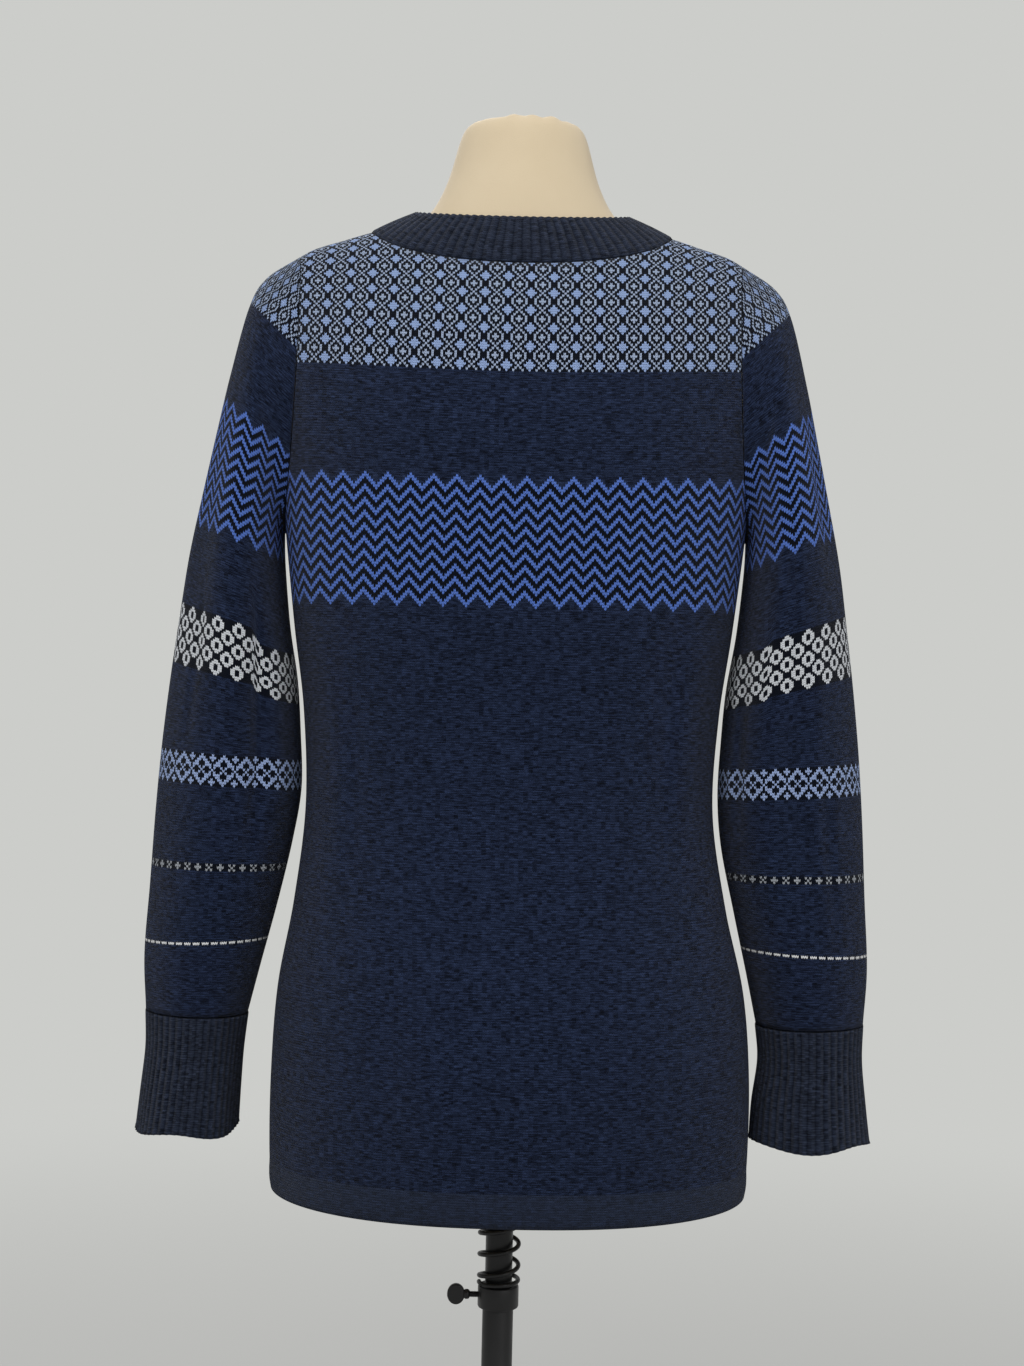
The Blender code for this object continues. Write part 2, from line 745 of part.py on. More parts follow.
def sew_buttons(cloth, raised, parent):
    """Round buttons with a raised rim, on the middle of the outer band."""
    rim = BUTTON_RADIUS * 0.72
    dip = BUTTON_THICK * 0.72
    profile = [(0.0, 0.0), (BUTTON_RADIUS * 0.8, 0.0), (BUTTON_RADIUS, BUTTON_THICK * 0.35),
               (BUTTON_RADIUS * 0.95, BUTTON_THICK * 0.85), (BUTTON_RADIUS * 0.85, BUTTON_THICK),
               (rim, dip), (0.0, dip)]
    line = raised[1::3]
    for number, height in enumerate(BUTTON_HEIGHTS):
        row = max(k for k in range(len(line) - 1) if line[k].z <= height)
        rise = line[row + 1] - line[row]
        middle = line[row] + rise * (height - line[row].z) / rise.z
        along = rise.normalized()
        out = along.cross(Vector((-1, 0, 0))).normalized()
        if out.y > 0:
            out = -out
        across = along.cross(out)
        turn = Matrix((across, along, out)).transposed().to_4x4()
        button = turned(profile, BUTTON_STEPS)
        bmesh.ops.transform(button, matrix=turn, verts=button.verts)
        bmesh.ops.translate(button, verts=button.verts, vec=middle + out * SEAM_GAP * 1.3)
        add("button_%d" % (number + 1), button, parent, BUTTON_NAVY, 0.35)


def build_form(cloth, parent):
    """The limbless dress form: the body just inside the cloth, with a neck and arm plates."""
    heights = [z for z in BELOW_ROWS if z > FORM_BOTTOM]
    rows = [FORM_BOTTOM - UNDERARM] + [z - UNDERARM for z in heights]
    rows += [(k + 1) / ARCH_ROWS for k in range(ARCH_ROWS)]
    body = bmesh.new()
    sides = {}
    for side in (1, -1):
        points, faces = panel_grid(rows, side)
        faces = turn_out(points, faces, Vector((0, 0, 1.05)))
        sides[side] = (points, faces)
    normals = {}
    for points, faces in sides.values():
        for face in faces:
            for i in face:
                normals.setdefault(spot(points[i]), Vector())
                normals[spot(points[i])] += face_normal(points, face)

    def inset(point):
        direction = normals[spot(point)].normalized()
        depth = read(FORM_INSET, "depth", point.z)
        from_neck = math.hypot(point.x, point.y) - NECK_X
        depth += FORM_NECK_INSET * bump(min(from_neck, 0.0), 1.0) * bump(max(from_neck, 0.0), 0.03)
        return point - direction * depth

    for points, faces in sides.values():
        used = {i for face in faces for i in face}
        verts = {i: body.verts.new(inset(points[i])) for i in used}
        for corners in halves(faces):
            body.faces.new([verts[i] for i in corners])
    bmesh.ops.remove_doubles(body, verts=body.verts, dist=2e-5)
    close_arm_plates(body)
    close_bottom(body)
    raise_neck(body)
    bmesh.ops.recalc_face_normals(body, faces=body.faces)
    add("dress_form", body, parent, COVER, 0.9)


def open_loops(mesh):
    """The edge loops round the openings of a mesh."""
    edges = [edge for edge in mesh.edges if len(edge.link_faces) == 1]
    loops = []
    while edges:
        loop = [edges.pop()]
        grown = True
        while grown:
            ends = {vert for edge in loop for vert in edge.verts}
            touching = [edge for edge in edges if edge.verts[0] in ends or edge.verts[1] in ends]
            grown = bool(touching)
            loop += touching
            edges = [edge for edge in edges if edge not in touching]
        loops.append(loop)
    return loops


def loop_middle(loop):
    """The middle of an edge loop."""
    verts = {vert for edge in loop for vert in edge.verts}
    return sum((vert.co for vert in verts), Vector()) / len(verts)


def close_arm_plates(mesh):
    """Round each shoulder end off with a slightly domed plate."""
    for loop in open_loops(mesh):
        middle = loop_middle(loop)
        if abs(middle.x) > 0.1:
            new = bmesh.ops.extrude_edge_only(mesh, edges=loop)["geom"]
            ring = [item for item in new if isinstance(item, bmesh.types.BMVert)]
            for vert in ring:
                vert.co = middle.lerp(vert.co, ARM_PLATE_SHARE)
                vert.co.x += math.copysign(ARM_PLATE_OUT, middle.x)
            rim = [item for item in new if isinstance(item, bmesh.types.BMEdge)]
            bmesh.ops.contextual_create(mesh, geom=[e for e in rim if len(e.link_faces) == 1])


def close_bottom(mesh):
    """The flat underside."""
    for loop in open_loops(mesh):
        if loop_middle(loop).z < UNDERARM:
            for edge in loop:
                for vert in edge.verts:
                    vert.co.z = FORM_BOTTOM
            bmesh.ops.contextual_create(mesh, geom=loop)


def raise_neck(mesh):
    """The neck, from inside the neckband to its flat top."""
    loop = open_loops(mesh)[0]
    for share in (0.5, 1.0):
        loop, ring = raise_ring(mesh, loop)
        for vert in ring:
            vert.co = neck_inside(vert.co, share)
    for level in FORM_NECK:
        loop, ring = raise_ring(mesh, loop)
        for vert in ring:
            depth = level.back if vert.co.y > 0 else level.front
            angle = math.atan2(vert.co.y / (BAND_TOP_BACK if vert.co.y > 0 else BAND_TOP_FRONT),
                               vert.co.x / BAND_TOP_X)
            vert.co = Vector((level.half_x * math.cos(angle), depth * math.sin(angle), level.z))
    bmesh.ops.contextual_create(mesh, geom=loop)


def raise_ring(mesh, loop):
    """Extrude an open loop, and return the new loop with its points."""
    new = bmesh.ops.extrude_edge_only(mesh, edges=loop)["geom"]
    ring = [item for item in new if isinstance(item, bmesh.types.BMVert)]
    edges = [item for item in new if isinstance(item, bmesh.types.BMEdge)]
    points = set(ring)
    return [edge for edge in edges if set(edge.verts) <= points], ring


def neck_inside(place, share):
    """The form's surface behind the neckband."""
    side = 1 if place.y > 0 else -1
    gap = NECK_ROOM if share < 1 else NECK_ROOM + WALL
    depth = BAND_TOP_BACK if side > 0 else BAND_TOP_FRONT
    drop = BAND_TOP_BACK_DROP if side > 0 else BAND_TOP_FRONT_DROP
    angle = math.atan2(abs(place.y) / depth, abs(place.x) / BAND_TOP_X)
    sine = math.sin(angle)
    top = Vector((math.copysign((BAND_TOP_X - gap) * math.cos(angle), place.x),
                  side * (depth - gap) * sine, BAND_TOP_SIDE_Z - drop * sine))
    top.z -= gap / 2
    if share == 1:
        return top
    return place.lerp(top, share) - Vector((0, 0, WALL / 2))


def build_stand(root, slide):
    """Base, tubes, clamp collar, spring and the flange under the form."""
    base = [(0.0, 0.0), (BASE_RADIUS - 0.001, 0.0), (BASE_RADIUS, 0.001),
            (BASE_RADIUS, BASE_THICK - 0.002), (BASE_RADIUS - 0.002, BASE_THICK),
            (0.024, BASE_THICK + 0.001), (0.020, BASE_THICK + 0.004), (0.0195, 0.040),
            (0.0185, 0.041), (SOCKET_BORE, 0.041), (SOCKET_BORE, 0.010), (0.0, 0.010)]
    add("base", turned(base, BASE_STEPS), root, BLACK_STEEL, 0.45, 0.6)
    lower = [(LOWER_RADIUS, 0.0103), (LOWER_RADIUS, LOWER_TOP), (LOWER_BORE, LOWER_TOP), (LOWER_BORE, 0.0103)]
    add("lower_tube", turned(lower), root, BLACK_STEEL, 0.35, 0.6)
    upper = [(0.0, UPPER_BOTTOM), (UPPER_RADIUS - 0.001, UPPER_BOTTOM), (UPPER_RADIUS, UPPER_BOTTOM + 0.001),
             (UPPER_RADIUS, FORM_BOTTOM - SEAM_GAP), (0.0, FORM_BOTTOM - SEAM_GAP)]
    add("upper_tube", turned(upper), slide, BLACK_STEEL, 0.3, 0.6)
    top = FORM_BOTTOM - SEAM_GAP
    bore = UPPER_RADIUS + 0.0006
    flange = [(FLANGE_RADIUS, top), (bore, top), (bore, HUB_BOTTOM), (HUB_RADIUS - 0.001, HUB_BOTTOM),
              (HUB_RADIUS, HUB_BOTTOM + 0.001), (HUB_RADIUS, top - 0.006), (HUB_RADIUS + 0.003, top - 0.004),
              (FLANGE_RADIUS - 0.001, top - 0.004), (FLANGE_RADIUS, top - 0.003)]
    add("form_flange", turned(flange), slide, BLACK_STEEL, 0.4, 0.6)
    build_collar(root)
    build_spring(root)


def build_collar(root):
    """The clamp collar at the top of the lower tube, drilled for its screw."""
    edge = 0.0012
    collar = [(COLLAR_RADIUS - edge, COLLAR_BOTTOM), (COLLAR_RADIUS, COLLAR_BOTTOM + edge),
              (COLLAR_RADIUS, COLLAR_TOP - edge), (COLLAR_RADIUS - edge, COLLAR_TOP),
              (SOCKET_BORE, COLLAR_TOP), (SOCKET_BORE, COLLAR_BOTTOM)]
    body = add("clamp_collar", turned(collar, 32), root, BLACK_STEEL, 0.35, 0.7)
    drill = bmesh.new()
    across = Matrix.Rotation(math.pi / 2, 4, "Y")
    bmesh.ops.create_cone(drill, cap_ends=True, segments=16, radius1=SCREW_HOLE, radius2=SCREW_HOLE,
                          depth=0.02, matrix=Matrix.Translation((0.018, 0, SCREW_Z)) @ across)
    cutter = add("collar_drill", drill, root, BLACK_STEEL, 0.5)
    cutter.hide_render = True
    cutter.display_type = "WIRE"
    cut = body.modifiers.new("screw_hole", "BOOLEAN")
    cut.operation = "DIFFERENCE"
    cut.object = cutter


def build_spring(root):
    """The coil spring that cushions the form, standing on the collar with closed ends."""
    bottom = COLLAR_TOP + SEAM_GAP + SPRING_WIRE
    top = HUB_BOTTOM - SEAM_GAP - SPRING_WIRE
    steps = int(SPRING_TURNS * SPRING_STEPS)
    flat = 2.1 * SPRING_WIRE * SPRING_CLOSED
    curve = bpy.data.curves.new("spring", "CURVE")
    curve.dimensions = "3D"
    curve.bevel_depth = SPRING_WIRE
    curve.bevel_resolution = 1
    curve.use_fill_caps = True
    spline = curve.splines.new("POLY")
    spline.points.add(steps)
    for i in range(steps + 1):
        turn = SPRING_TURNS * i / steps
        if turn < SPRING_CLOSED:
            z = bottom + flat * turn / SPRING_CLOSED
        elif turn > SPRING_TURNS - SPRING_CLOSED:
            z = top - flat * (SPRING_TURNS - turn) / SPRING_CLOSED
        else:
            share = (turn - SPRING_CLOSED) / (SPRING_TURNS - 2 * SPRING_CLOSED)
            z = bottom + flat + (top - bottom - 2 * flat) * share
        angle = 2 * math.pi * turn
        spline.points[i].co = (SPRING_RADIUS * math.cos(angle), SPRING_RADIUS * math.sin(angle), z, 1.0)
    obj = bpy.data.objects.new("spring", curve)
    bpy.context.collection.objects.link(obj)
    obj.parent = root
    curve.materials.append(material("spring_finish", SPRING_STEEL, 0.35, 0.9))


def build_screw(axis):
    """The thumb screw of the collar, with an oval head."""
    length = SCREW_HEAD_X - SCREW_TIP_X + 0.001
    screw = turned([(0.0, SCREW_TIP_X), (SCREW_SHAFT, SCREW_TIP_X), (SCREW_SHAFT, SCREW_TIP_X + length),
                    (0.0, SCREW_TIP_X + length)], 12)
    across = Matrix.Rotation(math.pi / 2, 4, "Y")
    bmesh.ops.transform(screw, matrix=Matrix.Translation((0, 0, SCREW_Z)) @ across, verts=screw.verts)
    shaft = add("thumb_screw", screw, axis, BLACK_STEEL, 0.35, 0.6)
    head = bmesh.new()
    size = Matrix.Diagonal((SCREW_HEAD_LONG / 2, SCREW_HEAD_THICK / 2, SCREW_HEAD_TALL / 2, 1.0))
    middle = Vector((SCREW_HEAD_X + SCREW_HEAD_LONG / 2, 0, SCREW_Z))
    round_bar = Matrix.Rotation(math.pi / 2, 4, "X")
    bmesh.ops.create_cone(head, cap_ends=True, segments=20, radius1=1.0, radius2=1.0, depth=2.0,
                          matrix=Matrix.Translation(middle) @ size @ round_bar)
    rims = [edge for edge in head.edges if len(edge.link_faces) == 2
            and abs(edge.verts[0].co.y - edge.verts[1].co.y) < 1e-6]
    bmesh.ops.bevel(head, geom=rims, offset=0.0009, affect="EDGES", segments=1, profile=0.5, material=-1)
    handle = add("screw_head_body", head, axis, BLACK_STEEL, 0.35, 0.6)
    handle.hide_render = True
    handle.display_type = "WIRE"
    join = shaft.modifiers.new("head", "BOOLEAN")
    join.operation = "UNION"
    join.object = handle


def main():
    clear_scene()
    root = empty("stand_root", Vector((0, 0, 0)))
    slide = empty("height_slide_axis", Vector((0, 0, LOWER_TOP)), root)
    screw_axis = empty("thumb_screw_axis", Vector((SCREW_HEAD_X, 0, SCREW_Z)), root)
    cloth = sew_sweater(slide)
    build_form(cloth, slide)
    build_stand(root, slide)
    build_screw(screw_axis)


main()
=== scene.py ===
"""Looks of the fair isle henley sweater on its dress form.

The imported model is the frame. The sweater's pieces are laid out again on finer grids from
the sizes that the solids are made from, and each takes a knitted material that is charted
in stitches and rows. Units are metres. The front faces -Y and the wearer's left is +X.
"""
import math
from collections import namedtuple

import bmesh
import bpy
from mathutils import Matrix, Vector


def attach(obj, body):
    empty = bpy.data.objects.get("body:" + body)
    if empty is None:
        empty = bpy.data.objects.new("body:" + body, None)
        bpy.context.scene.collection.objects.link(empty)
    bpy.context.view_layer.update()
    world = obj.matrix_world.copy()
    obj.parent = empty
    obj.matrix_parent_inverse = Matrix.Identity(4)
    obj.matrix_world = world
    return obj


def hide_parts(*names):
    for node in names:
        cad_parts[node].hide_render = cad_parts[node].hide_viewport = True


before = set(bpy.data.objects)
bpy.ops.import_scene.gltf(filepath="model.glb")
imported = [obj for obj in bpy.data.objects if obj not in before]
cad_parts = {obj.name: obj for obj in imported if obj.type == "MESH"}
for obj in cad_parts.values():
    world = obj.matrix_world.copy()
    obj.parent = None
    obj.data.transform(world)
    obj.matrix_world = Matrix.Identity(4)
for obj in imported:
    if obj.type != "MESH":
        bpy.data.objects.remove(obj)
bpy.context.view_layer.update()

# Sizes shared with the solids
WALL = 0.0020
SEAM_GAP = 0.0003
HEM_EDGE = 0.670
HEM_TURN = 0.024
HEM_LIFT = 0.003
RIB_HEIGHT = 0.0009
UNDERARM = 1.150
SECTION_POWER = 2.3
ARCH_POWER = 2.8
SHOULDER_X = 0.162
NECK_X = 0.110
NECK_SIDE_Z = 1.368
BACK_NECK_DROP = 0.031
FRONT_NECK_DROP = 0.078
ARCH_ROWS = 10
ARCH_SPACING = 2.0
NECK_ROWS = 6
NECK_START = NECK_ROWS / ARCH_ROWS
BAND_TOP_X = 0.078
BAND_TOP_BACK = 0.056
BAND_TOP_FRONT = 0.075
BAND_TOP_SIDE_Z = 1.385
BAND_TOP_BACK_DROP = 0.013
BAND_TOP_FRONT_DROP = 0.067
BAND_TOP_ROUND = 0.10     # how softly the top edge turns over the shoulder
BAND_BULGE = 0.0015
NECK_RIBS = 90
NOTCH_HALF = 0.013
CUFF_RIBS = 44
CUFF_WAVE = 0.0012
CUFF_WAVES = 5
CUFF_DROOP = 0.0022
NECK_TOP = 1.450
COLLAR_TOP = 0.6000
HUB_BOTTOM = 0.6840
SCREW_Z = 0.5925
TINY = 1e-6               # points and angles closer than this are one
SHARP_ANGLE = 35          # degrees between the faces of an edge that stays crisp

# Finer form than the solids have
HEM_BEAD = 0.0012         # how far the turned hem stands out
HEM_BEAD_AT = 0.42        # its middle, spread and reach, in heights of the hem
HEM_BEAD_SPREAD = 0.60
HEM_BEAD_REACH = 1.3
SECTION_LEAN = 1.4        # a section's half width to its depth
RIB_STEPS = 8             # points across a rib
RIB_POWER = 0.7           # below 1 it rounds the crests
CUFF_ROLL = 0.0006
CUFF_ROLL_SPREAD = 0.12
BAND_FADE = 0.06          # share of the neckband over which its ribs rise from the seam
PLACKET_ROLL = 0.0005     # the placket's edges, and the line of stitches inside them
PLACKET_ROLL_SPREAD = 0.08
PLACKET_SEAM = 0.00035
PLACKET_SEAM_AT = 0.13
PLACKET_SEAM_SPREAD = 0.035
PUCKER_X = 0.0385         # the oval on which the cover is gathered at the top of the neck
PUCKER_Y = 0.0340
PUCKER_BELOW = 0.012
PUCKER_SPREAD = 0.0075
SPRING_WIRE = 0.0017
SPRING_RADIUS = 0.0143
SPRING_TURNS = 6.5
SPRING_CLOSED = 0.9       # turns that lie together at each end
SPRING_CLOSED_PITCH = 2.1
SPRING_STEPS = 36
BORE_RADIUS = 0.0027      # the collar's hole for the thumb screw
BORE_LENGTH = 0.0200
BORE_AT = 0.0180
THREAD_FROM = 0.0124
THREAD_TO = 0.0205
THREAD_PITCH = 0.0007
HEAD_AT = 0.0310
HEAD_HALF = (0.0065, 0.0023, 0.0075)
HEAD_EDGE = 0.0011
BUTTON_RADIUS = 0.0055
BUTTON_THICK = 0.0026
BUTTON_HOLE = 0.0006
BUTTON_HOLE_AT = 0.00095

# Knitting
STITCH = 0.00160
COURSE = 0.00174
CHEVRON_BOTTOM = 1.1015   # height of the lowest course of the chevron band
COURSE_LIFT = ((0.95, 0.0), (1.10, 0.002), (1.19, 0.0065), (1.26, 0.011), (1.40, 0.014))
SECTION_RATIO = 0.62      # depth of a section to its half width
SECTION_TURN = ((0.82, 0.0), (0.96, 1.0))
SECTION_STEPS = 200
COURSE_BEYOND = 0.35      # how far past the first and last course of a sleeve they go on
SEAM_ANGLE = 2.6          # beyond it a point is judged by its column's side of the underarm seam
CUFF_COURSES = 17         # from one ring of the cuff to the next
BAND_COURSES = 22
PLACKET_STITCHES = 16

Level = namedtuple("Level", "z half_width back_depth front_depth centre_x")
TORSO = (
    Level(0.670, 0.1720, 0.112, 0.104, -0.005),
    Level(0.700, 0.1745, 0.116, 0.106, -0.005),
    Level(0.760, 0.1745, 0.117, 0.108, -0.005),
    Level(0.820, 0.1700, 0.110, 0.107, -0.004),
    Level(0.880, 0.1580, 0.097, 0.104, -0.002),
    Level(0.950, 0.1490, 0.087, 0.101, 0.0),
    Level(1.020, 0.1520, 0.088, 0.106, 0.0),
    Level(1.080, 0.1600, 0.096, 0.116, 0.0),
    Level(1.150, 0.1680, 0.102, 0.126, 0.0),
    Level(1.220, 0.1750, 0.104, 0.114, 0.0),
    Level(1.300, 0.1820, 0.096, 0.092, 0.0),
    Level(1.350, 0.1850, 0.086, 0.080, 0.0),
    Level(1.390, 0.1850, 0.078, 0.072, 0.0),
)

Ridge = namedtuple("Ridge", "x z")
SHOULDER = (
    Ridge(0.000, 1.3870),
    Ridge(0.060, 1.3800),
    Ridge(0.110, 1.3680),
    Ridge(0.130, 1.3620),
    Ridge(0.150, 1.3560),
    Ridge(0.162, 1.3500),
)

ArmholeEdge = namedtuple("ArmholeEdge", "share x")
ARMHOLE = (
    ArmholeEdge(0.00, 0.1680),
    ArmholeEdge(0.10, 0.1665),
    ArmholeEdge(0.20, 0.1645),
    ArmholeEdge(0.30, 0.1620),
    ArmholeEdge(0.40, 0.1600),
    ArmholeEdge(0.55, 0.1582),
    ArmholeEdge(0.75, 0.1582),
    ArmholeEdge(0.90, 0.1600),
    ArmholeEdge(1.00, SHOULDER_X),
)

Ring = namedtuple("Ring", "outer_x outer_z inner_left inner_right inner_z half_depth centre_y")
SLEEVE = (
    Ring(0.1860, 1.3345, 0.1688, 0.1688, 1.1497, 0.0545, 0.0),
    Ring(0.1980, 1.3130, 0.1694, 0.1694, 1.1490, 0.0575, 0.0),
    Ring(0.2100, 1.2650, 0.1698, 0.1698, 1.1478, 0.0605, 0.0),
    Ring(0.2185, 1.2250, 0.1700, 0.1700, 1.1460, 0.0620, 0.0),
    Ring(0.2285, 1.1780, 0.1690, 0.1690, 1.1240, 0.0615, -0.001),
    Ring(0.2380, 1.1320, 0.1645, 0.1645, 1.0800, 0.0590, -0.002),
    Ring(0.2445, 1.0880, 0.1580, 0.1580, 1.0400, 0.0560, -0.003),
    Ring(0.2505, 1.0440, 0.1550, 0.1550, 1.0020, 0.0530, -0.004),
    Ring(0.2560, 0.9950, 0.1535, 0.1535, 0.9620, 0.0500, -0.005),
    Ring(0.2600, 0.9450, 0.1590, 0.1570, 0.9240, 0.0470, -0.006),
    Ring(0.2630, 0.8900, 0.1690, 0.1670, 0.8780, 0.0440, -0.006),
    Ring(0.2660, 0.8380, 0.1805, 0.1775, 0.8320, 0.0410, -0.006),
    Ring(0.2640, 0.7970, 0.1895, 0.1855, 0.7950, 0.0375, -0.006),
)
CUFF = (
    Ring(0.2635, 0.7967, 0.1898, 0.1858, 0.7947, 0.0370, -0.006),
    Ring(0.2630, 0.7700, 0.1925, 0.1880, 0.7690, 0.0360, -0.006),
    Ring(0.2660, 0.7380, 0.1944, 0.1840, 0.7380, 0.0385, -0.006),
    Ring(0.2688, 0.7100, 0.1958, 0.1820, 0.7100, 0.0420, -0.006),
)

Crease = namedtuple("Crease", "side angle first last spread depth")
SLEEVE_CREASES = (
    Crease(1, 48, 2, 8, 26, 0.0050),
    Crease(1, 118, 4, 10, 24, 0.0045),
    Crease(1, 250, 3, 9, 26, 0.0045),
    Crease(1, 312, 6, 12, 26, 0.0035),
    Crease(-1, 40, 1, 6, 24, 0.0050),
    Crease(-1, 92, 5, 11, 26, 0.0045),
    Crease(-1, 262, 3, 8, 26, 0.0045),
    Crease(-1, 320, 5, 11, 26, 0.0035),
    Crease(1, 120, 4, 10.5, 9, 0.0030),
    Crease(1, 56, 4.5, 8.5, 8, 0.0022),
    Crease(1, 98, 7, 11.5, 9, 0.0016),
    Crease(-1, 97, 2, 7, 9, 0.0026),
    Crease(-1, 143, 4.5, 9.5, 10, 0.0030),
    Crease(-1, 66, 7, 11, 9, 0.0018),
)

Fold = namedtuple("Fold", "side across top bottom spread height")
BODY_FOLDS = (
    Fold(1, -0.84, 1.12, 0.90, 0.13, 0.0050),
    Fold(1, 0.84, 1.08, 0.84, 0.13, 0.0030),
    Fold(1, 0.30, 0.86, 0.67, 0.20, 0.0030),
    Fold(-1, -0.82, 1.06, 0.84, 0.14, 0.0040),
    Fold(-1, 0.82, 1.10, 0.88, 0.14, 0.0035),
    Fold(-1, -0.30, 0.88, 0.67, 0.20, 0.0030),
)

# Courses of the sleeve in the view from behind: where each meets the outer and the inner
# side, and half the depth of the sleeve there. They slope more than the sleeve's rings do.
Course = namedtuple("Course", "row outer_x outer_z inner_x inner_z half_depth centre_y")
SLEEVE_COURSES = (
    Course(108, 0.1780, 1.3520, 0.1350, 1.3120, 0.0600, 0.0),
    Course(82, 0.1985, 1.3150, 0.1600, 1.2770, 0.0600, 0.0),
    Course(50, 0.2150, 1.2513, 0.1650, 1.2135, 0.0615, 0.0),
    Course(0, 0.2325, 1.1610, 0.1640, 1.1325, 0.0610, -0.001),
    Course(-35, 0.2440, 1.0960, 0.1580, 1.0670, 0.0570, -0.003),
    Course(-62, 0.2500, 1.0527, 0.1545, 1.0280, 0.0540, -0.004),
    Course(-95, 0.2565, 0.9890, 0.1550, 0.9820, 0.0495, -0.005),
    Course(-108, 0.2590, 0.9660, 0.1560, 0.9600, 0.0480, -0.006),
    Course(-141, 0.2620, 0.9065, 0.1660, 0.9045, 0.0445, -0.006),
    Course(-174, 0.2655, 0.8470, 0.1780, 0.8500, 0.0415, -0.006),
    Course(-205, 0.2640, 0.7970, 0.1895, 0.7950, 0.0375, -0.006),
)

# Where the cloth has slipped down past the inner crease, round the band of rings
SLIP_COLUMN = 6.3
SLIP_WIDTH = 0.5
SLIP_ROW = -48
SLIP_SPREAD = 38
SLIP_COURSES = {1: 7.0, -1: 3.0}

# Places along a panel, from its centre to its edge, as in the solids
Column = namedtuple("Column", "out neck low")
COLUMNS = (
    Column(0.00, 0.0, 0.0),
    Column(0.00, math.degrees(math.asin(NOTCH_HALF / NECK_X)), NOTCH_HALF / SHOULDER_X),
    Column(0.00, 26, 0.27),
    Column(0.00, 44, 0.45),
    Column(0.00, 60, 0.60),
    Column(0.26, 60, 0.60),
    Column(0.52, 60, 0.60),
    Column(0.78, 60, 0.60),
    Column(0.94, 60, 0.60),
    Column(1.00, 60, 0.60),
)
NECK_COLUMN = 4           # its upper courses turn up along the side of the neck
EDGE_COLUMN = len(COLUMNS) - 1

Pucker = namedtuple("Pucker", "angle height")
PUCKERS = (
    Pucker(78, 0.0020),
    Pucker(99, 0.0016),
    Pucker(121, 0.0018),
    Pucker(262, 0.0018),
    Pucker(290, 0.0015),
)

# Turned pieces, each with its outline as pairs of a radius and a height
Turned = namedtuple("Turned", "name node body steps profile")
TURNED = (
    Turned("base_plate", "base", "stand", 96, (
        (0.0, 0.0), (0.1690, 0.0), (0.1697, 0.0004), (0.1700, 0.0012), (0.1700, 0.0062),
        (0.1696, 0.0072), (0.1688, 0.0078), (0.1675, 0.0080), (0.030, 0.0088), (0.024, 0.0092),
        (0.0212, 0.0108), (0.0203, 0.0135), (0.0200, 0.018), (0.0196, 0.0395), (0.0192, 0.0406),
        (0.0182, 0.0410), (0.0122, 0.0410), (0.0118, 0.0406), (0.0118, 0.0100), (0.0, 0.0100))),
    Turned("lower_pole", "lower_tube", "stand", 64, (
        (0.0113, 0.0103), (0.0113, 0.5990), (0.0111, 0.5995), (0.0107, 0.5995), (0.0105, 0.5990),
        (0.0105, 0.0103))),
    Turned("upper_pole", "upper_tube", "form", 64, (
        (0.0, 0.300), (0.0092, 0.300), (0.0098, 0.3004), (0.0100, 0.3012), (0.0100, 0.6997),
        (0.0, 0.6997))),
    Turned("form_socket", "form_flange", "form", 64, (
        (0.0340, 0.6997), (0.0106, 0.6997), (0.0106, 0.6846), (0.0110, HUB_BOTTOM),
        (0.0158, HUB_BOTTOM), (0.0165, 0.6843), (0.0168, 0.6850), (0.0168, 0.6935),
        (0.0174, 0.6950), (0.0190, 0.6957), (0.0330, 0.6957), (0.0338, 0.6961), (0.0340, 0.6969))),
    Turned("pole_collar", "clamp_collar", "stand", 64, (
        (0.0118, 0.5840), (0.0138, 0.5840), (0.0146, 0.5843), (0.0150, 0.5851), (0.0150, 0.5989),
        (0.0146, 0.5997), (0.0138, COLLAR_TOP), (0.0118, COLLAR_TOP))),
)
BUTTON_PROFILE = (        # in shares of its radius and its thickness
    (0.0, 0.0), (0.72, 0.0), (0.88, 0.12), (0.98, 0.36), (1.0, 0.60), (0.97, 0.86), (0.91, 0.97),
    (0.84, 1.0), (0.77, 0.95), (0.70, 0.80), (0.62, 0.72), (0.30, 0.69), (0.0, 0.68))

# Finishes
NAVY = (4, 9, 24)
NAVY_PALE = (44, 57, 88)
HEM_PALE = (48, 55, 70)
GROUND = (12, 17, 27)
RIB_DARK = (13, 18, 29)
RIB_PALE = (54, 63, 84)
RIB_STITCHES = 4
DIAMOND_BLUE = (146, 168, 211)
STRAND_BLUE = (158, 173, 200)
CHEVRON_BLUE = (87, 119, 199)
RING_GREY = (219, 223, 229)
LATTICE_BLUE = (156, 176, 219)
CROSS_GREY = (158, 163, 170)
DASH_WHITE = (228, 229, 230)
COVER = (206, 190, 162)
COVER_SOILED = (192, 174, 144)
FLOOR = (166, 166, 164)
SURROUNDINGS = (204, 205, 202)

Finish = namedtuple("Finish", "name dark pale rough metal depth scale")
FINISHES = (
    Finish("satin_black", (20, 20, 21), (34, 34, 35), 0.42, 0.3, 0.00004, 900.0),
    Finish("sliding_black", (22, 22, 23), (44, 44, 45), 0.32, 0.6, 0.00002, 700.0),
    Finish("spring_black", (26, 26, 27), (52, 52, 53), 0.33, 0.7, 0.00003, 800.0),
    Finish("button_plastic", (24, 30, 46), (40, 48, 68), 0.3, 0.0, 0.00003, 500.0),
)

